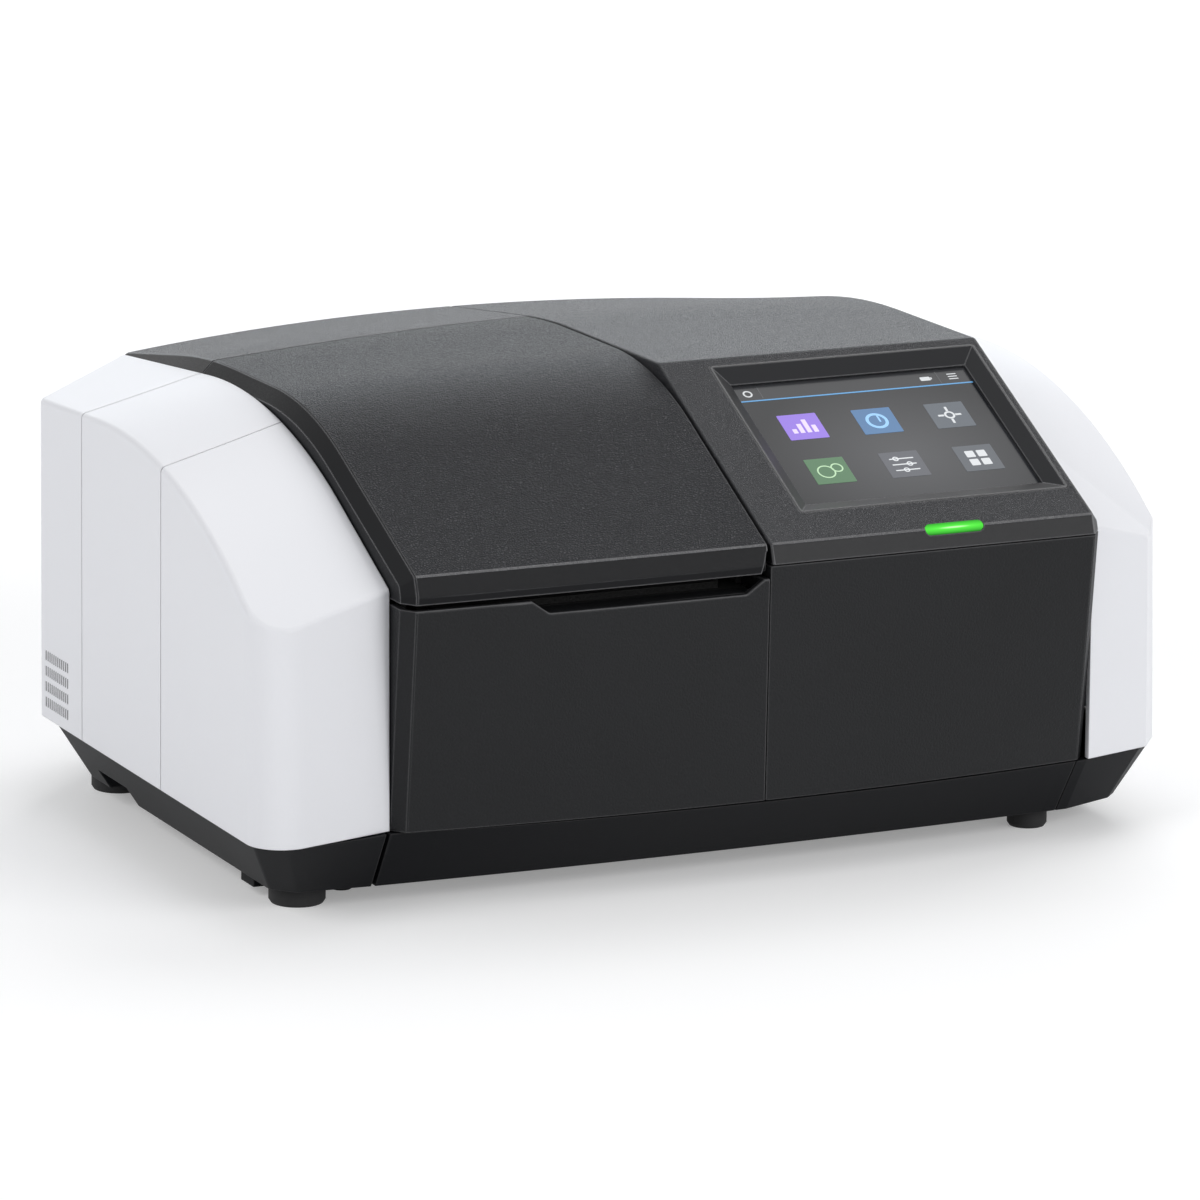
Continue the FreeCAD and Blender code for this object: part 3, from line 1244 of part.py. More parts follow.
PIECES = {
    "lid_shell": lid_shell,
    "rear_left_top_cover": rear_left_top_cover,
    "lid_liner": lid_liner,
    "lid_hinge_ears": lid_hinge_ears,
    "hinge_brackets": hinge_brackets,
    "hinge_pins": hinge_pins,
    "sample_front_panel": sample_front_panel,
    "control_front_panel": control_front_panel,
    "control_top_cover": control_top_cover,
    "screen_bezel": screen_bezel,
    "touch_glass": touch_glass,
    "display_module": display_module,
    "display_bracket": display_bracket,
    "status_light": status_light,
    "status_light_board": status_light_board,
    "left_front_cover": left_front_cover,
    "left_middle_cover": left_middle_cover,
    "left_rear_cover": left_rear_cover,
    "right_side_cover": right_side_cover,
    "base_tray": base_tray,
    "front_apron": front_apron,
    "left_feet": left_feet,
    "right_feet": right_feet,
    "optical_bench": optical_bench,
    "compartment_frame": compartment_frame,
    "compartment_tub": compartment_tub,
    "beam_windows": beam_windows,
    "holder_plate": holder_plate,
    "sample_cell_holder": sample_cell_holder,
    "reference_cell_holder": reference_cell_holder,
    "light_seal": light_seal,
    "rear_panel": rear_panel,
    "data_ports": data_ports,
    "power_inlet": power_inlet,
    "switch_frame": switch_frame,
    "power_rocker": power_rocker,
    "fan_frame": fan_frame,
    "fan_rotor": fan_rotor,
    "power_supply": power_supply,
    "main_board": main_board,
    "lamp_house": lamp_house,
    "deuterium_lamp": deuterium_lamp,
    "halogen_lamp": halogen_lamp,
    "lamp_mirror": lamp_mirror,
    "filter_wheel": filter_wheel,
    "filter_motor": filter_motor,
    "slit_plates": slit_plates,
    "concave_mirrors": concave_mirrors,
    "grating_table": grating_table,
    "grating_motor": grating_motor,
    "fold_mirrors": fold_mirrors,
    "beam_splitter": beam_splitter,
    "detectors": detectors,
    "rear_screws": rear_screws,
    "bench_screws": bench_screws,
}

build()
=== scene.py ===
import math

import bpy
from mathutils import Matrix, Vector


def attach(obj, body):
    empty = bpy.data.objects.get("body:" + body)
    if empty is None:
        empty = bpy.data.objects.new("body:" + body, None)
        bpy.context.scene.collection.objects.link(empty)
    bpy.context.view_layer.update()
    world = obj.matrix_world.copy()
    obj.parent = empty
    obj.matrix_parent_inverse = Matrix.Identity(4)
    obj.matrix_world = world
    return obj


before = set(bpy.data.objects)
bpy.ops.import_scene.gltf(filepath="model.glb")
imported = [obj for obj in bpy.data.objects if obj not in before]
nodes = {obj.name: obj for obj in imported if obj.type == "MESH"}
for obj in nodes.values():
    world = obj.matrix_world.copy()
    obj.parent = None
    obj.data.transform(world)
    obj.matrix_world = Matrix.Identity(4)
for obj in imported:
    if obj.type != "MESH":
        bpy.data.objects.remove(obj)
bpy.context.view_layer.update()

# Camera. A long lens stands in front of the instrument's left front corner and a
# little above it, as in the product picture. Places are in metres, turns in degrees.
LENS_LENGTH = 251.73
CAMERA_PLACE = (-1.5696, -3.3528, 0.9869)
CAMERA_TURN = (76.3759, -0.7431, -25.0977)
camera_data = bpy.data.cameras.new("product_camera")
camera_data.lens = LENS_LENGTH
camera_data.sensor_width = 36.0
camera_data.clip_end = 30.0
camera = bpy.data.objects.new("product_camera", camera_data)
bpy.context.collection.objects.link(camera)
camera.location = CAMERA_PLACE
camera.rotation_euler = [math.radians(angle) for angle in CAMERA_TURN]
bpy.context.scene.camera = camera
bpy.context.scene.view_settings.view_transform = "Standard"


# Side covers. Four light ABS mouldings, three at the left and one at the right, with a
# fine satin skin from the mould and hairline joints. They clip on to the base's rim.
def add_node(tree, kind, values=None, **settings):
    """Add one node. Each of its values is a number, a colour or another node's output."""
    node = tree.nodes.new(kind)
    for key, value in settings.items():
        setattr(node, key, value)
    for key, value in (values or {}).items():
        if isinstance(value, bpy.types.NodeSocket):
            tree.links.new(value, node.inputs[key])
        else:
            node.inputs[key].default_value = value
    return node


def maths(tree, operation, *values):
    """Add one Math node, and give its output."""
    return add_node(tree, "ShaderNodeMath", dict(enumerate(values)), operation=operation).outputs[0]


def finish_group(name, numbers, vectors=()):
    """A new group that takes a colour and named values, and gives a finish.

    Returns the group, the outputs of its input node and the inputs of its output node."""
    group = bpy.data.node_groups.new(name, "ShaderNodeTree")
    side = group.interface.new_socket
    side(name="Colour", in_out="INPUT", socket_type="NodeSocketColor")
    for key, value in vectors:
        side(name=key, in_out="INPUT", socket_type="NodeSocketVector").default_value = value
    for key, value in numbers:
        side(name=key, in_out="INPUT", socket_type="NodeSocketFloat").default_value = value
    side(name="Colour", in_out="OUTPUT", socket_type="NodeSocketColor")
    side(name="Roughness", in_out="OUTPUT", socket_type="NodeSocketFloat")
    side(name="Height", in_out="OUTPUT", socket_type="NodeSocketFloat")
    given = group.nodes.new("NodeGroupInput")
    out = group.nodes.new("NodeGroupOutput")
    return group, given.outputs, out.inputs


def give_finish(group, out, colour, value, gloss, height):
    """Send a group's colour, with its brightness changed, its gloss and its relief out."""
    shade = add_node(group, "ShaderNodeHueSaturation", {"Color": colour, "Value": value})
    group.links.new(shade.outputs["Color"], out["Colour"])
    group.links.new(gloss, out["Roughness"])
    group.links.new(height, out["Height"])
    return group


def skin_group():
    """A moulded plastic's fine grain, faint mottling and uneven gloss."""
    group, given, out = finish_group("moulded_skin", (
        ("Grain", 1500.0), ("Mottle", 0.05), ("Roughness", 0.5), ("Gloss spread", 0.08)))
    place = add_node(group, "ShaderNodeTexCoord").outputs["Object"]
    grain = add_node(group, "ShaderNodeTexNoise", {
        "Vector": place, "Scale": given["Grain"], "Detail": 2.0}).outputs["Fac"]
    cloud = add_node(group, "ShaderNodeTexNoise", {
        "Vector": place, "Scale": 14.0, "Detail": 5.0}).outputs["Fac"]
    cloudy = maths(group, "SUBTRACT", cloud, 0.5)
    grainy = maths(group, "SUBTRACT", grain, 0.5)
    tone = maths(group, "MULTIPLY_ADD", cloudy, given["Mottle"], 1.0)
    value = maths(group, "MULTIPLY_ADD", grainy, given["Mottle"], tone)
    gloss = maths(group, "MULTIPLY_ADD", cloudy, given["Gloss spread"], given["Roughness"])
    return give_finish(group, out, given["Colour"], value, gloss, grain)


# How far a moulded round between a front and a top may lean: the limits of its normal. Rounds that
# lean so take the painted highlight too.
FRONT_ROUND_LIMITS = (("Y", "LESS_THAN", -0.47), ("Y", "GREATER_THAN", -0.935),
                      ("Z", "GREATER_THAN", 0.2), ("X", "GREATER_THAN", -0.3))


def edge_group():
    """The small round that every moulded or milled edge has, and a mask of where it is, for a
    painted highlight.
    """
    group = bpy.data.node_groups.new("edge_highlights", "ShaderNodeTree")
    side = group.interface.new_socket
    side(name="Round", in_out="INPUT", socket_type="NodeSocketFloat").default_value = 0.0006
    side(name="Front rounds", in_out="INPUT", socket_type="NodeSocketFloat").default_value = 0.0
    side(name="Highlight", in_out="OUTPUT", socket_type="NodeSocketFloat")
    side(name="Normal", in_out="OUTPUT", socket_type="NodeSocketVector")
    given = group.nodes.new("NodeGroupInput").outputs
    out = group.nodes.new("NodeGroupOutput").inputs
    softened = add_node(group, "ShaderNodeBevel", {"Radius": given["Round"]},
                        samples=4).outputs["Normal"]
    flat = add_node(group, "ShaderNodeNewGeometry").outputs["Normal"]
    agree = add_node(group, "ShaderNodeVectorMath", {0: softened, 1: flat},
                     operation="DOT_PRODUCT").outputs["Value"]
    sharp = add_node(group, "ShaderNodeMapRange", {
        "Value": agree, "From Min": 0.998, "From Max": 0.95}).outputs["Result"]
    facing = add_node(group, "ShaderNodeTexCoord").outputs["Normal"]
    ways = add_node(group, "ShaderNodeSeparateXYZ", {"Vector": facing}).outputs
    front = given["Front rounds"]
    for way, test, limit in FRONT_ROUND_LIMITS:
        front = maths(group, "MULTIPLY", front, maths(group, test, ways[way], limit))
    group.links.new(maths(group, "MAXIMUM", sharp, front), out["Highlight"])
    group.links.new(softened, out["Normal"])
    return group


def principled(name):
    """A new material, with its node tree and its shader."""
    material = bpy.data.materials.new(name)
    material.use_nodes = True
    return material, material.node_tree, material.node_tree.nodes["Principled BSDF"]


moulded_skin = skin_group()
edge_highlights = edge_group()
EDGE_ROUND = 0.0009


def surface(name, group, values, depth, strength, metallic=0.0, sheen=0.5, edge=None,
            front_rounds=0.0):
    """A Principled material whose colour, gloss and relief come from one shared group.

    depth is the relief's, in metres, and sheen the specular level. edge is the grey of
    the painted highlight along the edges; without it the painted highlight is a little lighter
    than the colour. front_rounds counts the moulded rounds between a front and a top as
    edges too, so they take the painted highlight as well."""
    material, tree, shader = principled(name)
    shader.inputs["Metallic"].default_value = metallic
    shader.inputs["Specular IOR Level"].default_value = sheen
    skin = add_node(tree, "ShaderNodeGroup", values, node_tree=group).outputs
    edges = add_node(tree, "ShaderNodeGroup", {
        "Round": EDGE_ROUND, "Front rounds": front_rounds}, node_tree=edge_highlights).outputs
    # Painted highlight along the edges: the given grey, or the colour made a little lighter.
    if edge:
        tint = (edge, edge, edge * 1.03)
    else:
        tint = [min(part * 1.15, 1.0) for part in values["Colour"][:3]]
    highlighted = add_node(tree, "ShaderNodeMix", {
        "Factor": edges["Highlight"], "A": skin["Colour"], "B": (*tint, 1)}, data_type="RGBA")
    bump = add_node(tree, "ShaderNodeBump", {
        "Distance": depth, "Strength": strength, "Height": skin["Height"],
        "Normal": edges["Normal"]})
    tree.links.new(highlighted.outputs["Result"], shader.inputs["Base Color"])
    tree.links.new(skin["Roughness"], shader.inputs["Roughness"])
    tree.links.new(bump.outputs["Normal"], shader.inputs["Normal"])
    return material


def dress(names, material):
    """Put a material on the named CAD pieces."""
    for name in names:
        for slot in nodes[name].material_slots:
            slot.material = material


cover_white = surface("cover_white", moulded_skin, {
    "Colour": (0.845, 0.85, 0.88, 1), "Grain": 1300.0, "Mottle": 0.02, "Roughness": 0.45},
    depth=0.00004, strength=0.3, sheen=0.2, edge=0.94)
dress(["left_front_cover", "left_middle_cover", "right_side_cover"], cover_white)

# Vented side cover. The rear left moulding, whose ventilation slots are darkened inside with
# painted shade.
# The painted shade fills a box round the slots, just under the outer face.
SLOTS_MIDDLE = (-0.2236, 0.067, 0.0565)
SLOTS_REACH = (0.0012, 0.016, 0.0150)
vented_white = cover_white.copy()
vented_white.name = "vented_white"
tree = vented_white.node_tree
shader = tree.nodes["Principled BSDF"]
skin_colour = shader.inputs["Base Color"].links[0].from_socket
inside = add_node(tree, "ShaderNodeTexCoord").outputs["Object"]
for operation, amount in (("SUBTRACT", SLOTS_MIDDLE), ("DIVIDE", SLOTS_REACH)):
    inside = add_node(tree, "ShaderNodeVectorMath", {0: inside, 1: amount},
                      operation=operation).outputs["Vector"]
inside = add_node(tree, "ShaderNodeVectorMath", {0: inside}, operation="ABSOLUTE")
axes = add_node(tree, "ShaderNodeSeparateXYZ", {"Vector": inside.outputs["Vector"]}).outputs
furthest = maths(tree, "MAXIMUM", maths(tree, "MAXIMUM", axes["X"], axes["Y"]), axes["Z"])
# Painted shade: inside the box round the slots the skin's colour falls to 3 %.
painted_slot_shade = add_node(tree, "ShaderNodeMapRange", {
    "Value": furthest, "From Min": 0.96, "To Min": 0.03, "To Max": 1.0})
dim = add_node(tree, "ShaderNodeVectorMath", {
    0: skin_colour, "Scale": painted_slot_shade.outputs["Result"]}, operation="SCALE")
tree.links.new(dim.outputs["Vector"], shader.inputs["Base Color"])
dress(["left_rear_cover"], vented_white)


# Lid. One large ABS moulding over the sample compartment, its top face textured like
# fine leather by the mould, swung on two ears at the rear. Its sides and end are plain;
# the left side and the band below the top are darkened with painted shade.
def leather_group():
    """Pebbled leather relief: small uneven cells with painted shade darkening the creases between
    them, and painted shade on the plain parts outside the textured area.
    """
    group, given, out = finish_group("leather_grain", (
        ("Cells", 900.0), ("Painted crease shade", 0.8), ("Roughness", 0.5),
        ("Plain left of", -1.0), ("Plain right of", 1.0), ("Plain below", -1.0)))
    place = add_node(group, "ShaderNodeTexCoord").outputs["Object"]
    stir = add_node(group, "ShaderNodeTexNoise", {"Vector": place, "Scale": 420.0})
    bent = add_node(group, "ShaderNodeVectorMath", {
        0: stir.outputs["Color"], 1: (0.0016, 0.0016, 0.0016), 2: place},
        operation="MULTIPLY_ADD").outputs[0]
    cells = add_node(group, "ShaderNodeTexVoronoi", {
        "Vector": bent, "Scale": given["Cells"]}, feature="DISTANCE_TO_EDGE")
    pebble = add_node(group, "ShaderNodeMapRange", {
        "Value": cells.outputs["Distance"], "From Max": 0.28},
        interpolation_type="SMOOTHSTEP").outputs["Result"]
    patch = add_node(group, "ShaderNodeTexNoise", {
        "Vector": place, "Scale": 60.0, "Detail": 3.0}).outputs["Fac"]
    height = maths(group, "MULTIPLY_ADD", patch, 0.6, pebble)
    # Painted shade: the creases between the pebbles fall to the crease shade's brightness.
    tone = add_node(group, "ShaderNodeMapRange", {
        "Value": pebble, "To Min": given["Painted crease shade"]}).outputs["Result"]
    axes = add_node(group, "ShaderNodeSeparateXYZ", {"Vector": place}).outputs
    textured = maths(
        group, "MULTIPLY",
        maths(group, "MULTIPLY",
              maths(group, "GREATER_THAN", axes["X"], given["Plain left of"]),
              maths(group, "LESS_THAN", axes["X"], given["Plain right of"])),
        maths(group, "GREATER_THAN", axes["Z"], given["Plain below"]))
    # Painted shade: where the face is plain, left, right or below the textured area, its brightness
    # falls to 0.22.
    painted_shade_value = add_node(group, "ShaderNodeMix", {"Factor": textured, "A": 0.22, "B": tone})
    gloss = maths(group, "MULTIPLY_ADD", pebble, -0.10, given["Roughness"])
    relief = maths(group, "MULTIPLY", height, textured)
    return give_finish(group, out, given["Colour"], painted_shade_value.outputs["Result"], gloss, relief)


leather_grain = leather_group()
TOP_LEFT = -0.1533
TOP_RIGHT = 0.1723
TOP_LOWEST = 0.1512
lid_leather = surface("lid_leather", leather_grain, {
    "Colour": (0.036, 0.0372, 0.0425, 1), "Cells": 850.0, "Painted crease shade": 0.55,
    "Roughness": 0.48, "Plain left of": TOP_LEFT, "Plain below": TOP_LOWEST},
    depth=0.0006, strength=1.0, sheen=0.11, edge=0.20, front_rounds=1.0)
dress(["lid_shell"], lid_leather)

# Rear top covers. The fixed mouldings behind the lid and round the display, in the same
# charcoal ABS with a finer texture from the mould. Their plain ends and the band below the
# top are darkened with painted shade.
top_charcoal = surface("top_charcoal", leather_grain, {
    "Colour": (0.038, 0.0392, 0.0450, 1), "Cells": 1200.0, "Painted crease shade": 0.65,
    "Roughness": 0.44, "Plain left of": TOP_LEFT, "Plain right of": TOP_RIGHT,
    "Plain below": TOP_LOWEST},
    depth=0.0004, strength=0.9, sheen=0.19, edge=0.17, front_rounds=1.0)
dress(["rear_left_top_cover", "control_top_cover"], top_charcoal)

# Front panels. Two nearly black mouldings with a fine spark-eroded texture, screwed to
# the base from behind, with a small shadow gap between them.
front_black = surface("front_black", moulded_skin, {
    "Colour": (0.0112, 0.0117, 0.0129, 1), "Grain": 1100.0, "Mottle": 0.5, "Roughness": 0.5},
    depth=0.0003, strength=0.9, sheen=0.2, edge=0.10, front_rounds=1.0)
dress(["sample_front_panel", "control_front_panel"], front_black)

# Base. A charcoal tray with a separate apron along the front, plainer and duller than
# the panels above it.
base_charcoal = surface("base_charcoal", moulded_skin, {
    "Colour": (0.0070, 0.0074, 0.0088, 1), "Grain": 1000.0, "Mottle": 0.3, "Roughness": 0.5},
    depth=0.00008, strength=0.4, sheen=0.08, edge=0.04)
dress(["base_tray", "front_apron"], base_charcoal)

# Feet. Moulded rubber discs pressed into the base's underside, two at each side, dusty
# and dull.
foot_rubber = surface("foot_rubber", moulded_skin, {
    "Colour": (0.014, 0.014, 0.015, 1), "Grain": 700.0, "Mottle": 0.35, "Roughness": 0.8},
    depth=0.0001, strength=0.6)
dress(["left_feet", "right_feet"], foot_rubber)

# Display bezel. A separate moulding let into the sloped face: four bevelled walls that
# lead down to the glass.
bezel_black = surface("bezel_black", moulded_skin, {
    "Colour": (0.0135, 0.014, 0.016, 1), "Grain": 1500.0, "Mottle": 0.08, "Roughness": 0.34},
    depth=0.00003, strength=0.3, sheen=0.22, edge=0.16)
dress(["screen_bezel"], bezel_black)

# Touch glass. A dark sheet bonded over the display. The lit picture under it shows as a
# soft grey field, lighter in the middle and darker towards the top bar. The sloped face
# rises from the ridge, and the glass lies in it. Distances on the glass are millimetres.
RIDGE = (0.0, -0.172, 0.152)
SLOPE_RISE = 57.5
SLOPE_RUN = 116.0
GLASS_RIGHT = 0.1035
GLASS_UP = 0.0715
GLASS_SUNK = 0.0055


def slope_matrix(u, v, w):
    """From the glass's own axes, in millimetres from its middle, to the instrument's."""
    turn = Matrix.Rotation(math.atan2(SLOPE_RISE, SLOPE_RUN), 4, "X")
    place = (GLASS_RIGHT + u / 1000, GLASS_UP + v / 1000, -GLASS_SUNK + w / 1000)
    return Matrix.Translation(RIDGE) @ turn @ Matrix.Translation(place)


def glow(name, low, high, middle, spread, roughness=0.25, between=()):
    """A lit face: dark plastic or glass with a gentle bright spot in its own light."""
    material, tree, shader = principled(name)
    shader.inputs["Roughness"].default_value = roughness
    shader.inputs["Emission Strength"].default_value = 1.0
    shader.inputs["Specular IOR Level"].default_value = 0.12
    place = add_node(tree, "ShaderNodeTexCoord").outputs["Object"]
    move = add_node(tree, "ShaderNodeMapping", {"Vector": place}, vector_type="TEXTURE")
    move.inputs["Location"].default_value = middle
    move.inputs["Scale"].default_value = spread
    spot = add_node(tree, "ShaderNodeTexGradient", {"Vector": move.outputs["Vector"]},
                    gradient_type="SPHERICAL")
    ramp = add_node(tree, "ShaderNodeValToRGB", {"Fac": spot.outputs["Fac"]})
    ramp.color_ramp.elements[0].color = (*low, 1)
    ramp.color_ramp.elements[1].color = (*high, 1)
    for stop, colour in between:
        ramp.color_ramp.elements.new(stop).color = (*colour, 1)
    dim = add_node(tree, "ShaderNodeHueSaturation", {
        "Color": ramp.outputs["Color"], "Value": 0.12})
    tree.links.new(dim.outputs["Color"], shader.inputs["Base Color"])
    tree.links.new(ramp.outputs["Color"], shader.inputs["Emission Color"])
    return material


glass_middle = slope_matrix(4, -14, 0) @ Vector((0, 0, 0))
picture_grey = glow("picture_grey", (0.010, 0.0108, 0.013), (0.070, 0.072, 0.078),
                    glass_middle, (0.068, 0.056, 0.056))
dress(["touch_glass"], picture_grey)


# Picture on the display. A status bar with a blue rule, and six tiles with plain
# symbols, all a tenth of a millimetre high on the glass as printed light. Places u and v
# and all sizes are in millimetres from the middle of the glass.
def start_clean():
    """Leave edit mode and deselect everything."""
    if bpy.context.mode != "OBJECT":
        bpy.ops.object.mode_set(mode="OBJECT")
    bpy.ops.object.select_all(action="DESELECT")


def settle(piece, matrix, body):
    """Give a finished piece its place in its mesh, and let it ride on its body."""
    start_clean()
    piece.matrix_world = matrix @ piece.matrix_world
    bpy.context.view_layer.objects.active = piece
    piece.select_set(True)
    bpy.ops.object.transform_apply(location=True, rotation=True, scale=True)
    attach(piece, body)


def pick(piece, kind, wanted):
    """Enter edit mode with only the wanted edges or faces of a mesh selected."""
    bpy.ops.object.mode_set(mode="EDIT")
    bpy.ops.mesh.select_mode(type=kind)
    bpy.ops.mesh.select_all(action="DESELECT")
    bpy.ops.object.mode_set(mode="OBJECT")
    for element in (piece.data.edges if kind == "EDGE" else piece.data.polygons):
        element.select = wanted(element)
    bpy.ops.object.mode_set(mode="EDIT")


def plate(name, place, size, axis, corner):
    """Thin plate in metres, with the edges that run along one axis rounded."""
    start_clean()
    bpy.ops.mesh.primitive_cube_add(size=1.0, location=place)
    piece = bpy.context.object
    piece.name = name
    piece.scale = size
    bpy.ops.object.transform_apply(location=True, rotation=True, scale=True)
    points = piece.data.vertices

    def along(edge):
        start, end = edge.vertices
        return abs(points[start].co[axis] - points[end].co[axis]) > 1e-6

    pick(piece, "EDGE", along)
    bpy.ops.mesh.bevel(offset=corner, segments=4)
    bpy.ops.object.mode_set(mode="OBJECT")
    return piece


def tab(name, u, v, width, length, low, high, corner):
    """Thin plate in the glass's axes, its upright edges rounded."""
    place = (u / 1000, v / 1000, (low + high) / 2000)
    size = (width / 1000, length / 1000, (high - low) / 1000)
    return plate(name, place, size, 2, corner / 1000)


def ring(name, u, v, radius, width, low, high):
    """Flat ring in the glass's axes, cut from a round plate by an inset."""
    start_clean()
    bpy.ops.mesh.primitive_cylinder_add(
        vertices=32, radius=radius / 1000, depth=(high - low) / 1000,
        location=(u / 1000, v / 1000, (low + high) / 2000))
    piece = bpy.context.object
    piece.name = name
    bpy.ops.object.transform_apply(location=True, rotation=True, scale=True)
    pick(piece, "FACE", lambda face: abs(face.normal.z) > 0.9)
    bpy.ops.mesh.inset(thickness=width / 1000)
    bpy.ops.mesh.bridge_edge_loops()
    bpy.ops.object.mode_set(mode="OBJECT")
    return piece


def join(name, pieces):
    """Make several pieces one."""
    start_clean()
    for piece in pieces:
        piece.select_set(True)
    bpy.context.view_layer.objects.active = pieces[0]
    bpy.ops.object.join()
    pieces[0].name = name
    return pieces[0]


def repeat(piece, moves):
    """A piece and its copies, each with its own mesh, moved over the glass in millimetres."""
    pieces = [piece]
    for across, up in moves:
        start_clean()
        piece.select_set(True)
        bpy.context.view_layer.objects.active = piece
        bpy.ops.object.duplicate(linked=False)
        twin = bpy.context.object
        twin.location = (across / 1000, up / 1000, 0)
        bpy.ops.object.transform_apply(location=True, rotation=True, scale=True)
        pieces.append(twin)
    return pieces


def paint(piece, material):
    """Put a material on a new piece."""
    piece.data.materials.clear()
    piece.data.materials.append(material)
    return piece


def lit(name, colour):
    """Self-lit ink, a touch brighter at the middle of the glass."""
    high = tuple(min(part * 1.15, 1.0) for part in colour)
    return glow(name, colour, high, glass_middle, (0.08, 0.07, 0.07))


INK = 0.10
SUNK = -0.02
PICTURE_WIDTH = 117.0
BAR_V = 37.6
ICON_V = 37.4
BATTERY_U = 36.6
SPLIT_U = -46.2
SPLITS_APART = 89.4
MENU_U = 50.5
MENU_WIDTH = 4.6
ROW_STEP = 1.7
symbol_white = lit("symbol_white", (0.62, 0.64, 0.66))
status_bar = paint(tab("status_bar", 0, BAR_V, PICTURE_WIDTH, 10.4, SUNK, INK * 0.5, 0.2),
                   lit("bar_grey", (0.030, 0.031, 0.034)))
status_rule = paint(tab("status_rule", 0, 32.4, PICTURE_WIDTH, 0.75, SUNK, INK, 0.1),
                    lit("rule_blue", (0.11, 0.33, 0.62)))
splits = repeat(tab("split", SPLIT_U, BAR_V, 0.25, 8.0, 0, INK, 0.05), [(SPLITS_APART, 0)])
status_splits = paint(join("status_splits", splits), lit("split_grey", (0.10, 0.105, 0.11)))
icons = [ring("mark", -52.4, ICON_V, 2.3, 0.8, 0, INK),
         tab("cell", BATTERY_U, ICON_V, 5.0, 2.6, 0, INK, 0.5),
         tab("cap", BATTERY_U + 3.0, ICON_V, 0.7, 1.2, 0, INK, 0.1)]
icons += repeat(tab("row", MENU_U, BAR_V + ROW_STEP, MENU_WIDTH, 0.6, 0, INK, 0.1),
                [(0, -ROW_STEP), (0, -2 * ROW_STEP)])
status_icons = paint(join("status_icons", icons), symbol_white)
on_glass = slope_matrix(0, 0, 0)
for piece in (status_bar, status_rule, status_splits, status_icons):
    settle(piece, on_glass, "chassis")

TILE_WIDTH = 19.2
TILE_LENGTH = 17.6
tiles = {
    "tile_purple": (-36.0, 11.8, (0.27, 0.17, 0.66)),
    "tile_blue": (0.7, 11.2, (0.075, 0.17, 0.33)),
    "tile_slate_a": (37.0, 10.8, (0.10, 0.115, 0.135)),
    "tile_green": (-36.4, -19.9, (0.075, 0.17, 0.085)),
    "tile_slate_b": (0.5, -20.1, (0.095, 0.10, 0.115)),
    "tile_slate_c": (37.3, -20.3, (0.095, 0.105, 0.12)),
}
first_u, first_v = tiles["tile_purple"][:2]
moves = [(u - first_u, v - first_v) for u, v, colour in list(tiles.values())[1:]]
first_tile = tab("tile", first_u, first_v, TILE_WIDTH, TILE_LENGTH, SUNK, INK, 0.4)
for tile, name in zip(repeat(first_tile, moves), tiles):
    tile.name = name
    paint(tile, lit(name, tiles[name][2]))
    settle(tile, on_glass, "chassis")

TOP = INK + 0.06
COLUMN_WIDTH = 2.2
COLUMN_STEP = 3.4
u, v = tiles["tile_purple"][:2]
columns = [tab("column", u - 5 + i * COLUMN_STEP, v - 4.4 + high / 2, COLUMN_WIDTH, high,
               INK, TOP, 0.2) for i, high in enumerate((3.0, 6.4, 9.2, 5.0))]
symbol_columns = paint(join("symbol_columns", columns),
                       lit("symbol_lilac", (0.72, 0.62, 0.95)))

u, v = tiles["tile_blue"][:2]
dial = [ring("plate", u, v, 5.4, 1.5, INK, TOP),
        tab("needle", u + 1.4, v + 1.4, 0.9, 4.6, INK, TOP, 0.2)]
symbol_dial = paint(join("symbol_dial", dial), lit("symbol_sky", (0.28, 0.53, 0.83)))

RAY_OUT = 4.3
RAY_LENGTH = 3.0
RAY_WIDTH = 1.2
u, v = tiles["tile_slate_a"][:2]
sun = [ring("rim", u, v, 2.6, 1.0, INK, TOP)]
sun += repeat(tab("ray", u + RAY_OUT, v, RAY_LENGTH, RAY_WIDTH, INK, TOP, 0.2),
              [(-2 * RAY_OUT, 0)])
sun += repeat(tab("ray", u, v + RAY_OUT, RAY_WIDTH, RAY_LENGTH, INK, TOP, 0.2),
              [(0, -2 * RAY_OUT)])
symbol_sun = paint(join("symbol_sun", sun), symbol_white)

u, v = tiles["tile_green"][:2]
rings = [ring("ring_large", u - 2.0, v - 0.6, 4.4, 0.7, INK, TOP),
         ring("ring_small", u + 4.0, v + 1.6, 3.0, 0.7, INK, TOP)]
symbol_rings = paint(join("symbol_rings", rings), lit("symbol_mint", (0.45, 0.66, 0.42)))

TRACK_STEP = 4.0
u, v = tiles["tile_slate_b"][:2]
sliders = repeat(tab("track", u, v + TRACK_STEP, 12.0, 0.7, INK, TOP, 0.2),
                 [(0, -TRACK_STEP), (0, -2 * TRACK_STEP)])
sliders += repeat(ring("knob", u - 2.8, v + TRACK_STEP, 1.5, 0.6, INK, TOP + 0.02),
                  [(5.4, -TRACK_STEP), (2.2, -2 * TRACK_STEP)])
symbol_sliders = paint(join("symbol_sliders", sliders), symbol_white)

SQUARE = 4.4
SQUARE_OUT = 2.9
u, v = tiles["tile_slate_c"][:2]
squares = repeat(
    tab("square", u - SQUARE_OUT, v - SQUARE_OUT, SQUARE, SQUARE, INK, TOP, 0.5),
    [(0, 2 * SQUARE_OUT), (2 * SQUARE_OUT, 0), (2 * SQUARE_OUT, 2 * SQUARE_OUT)])
symbol_squares = paint(join("symbol_squares", squares), symbol_white)
for piece in (symbol_columns, symbol_dial, symbol_sun, symbol_rings, symbol_sliders,
              symbol_squares):
    settle(piece, on_glass, "chassis")

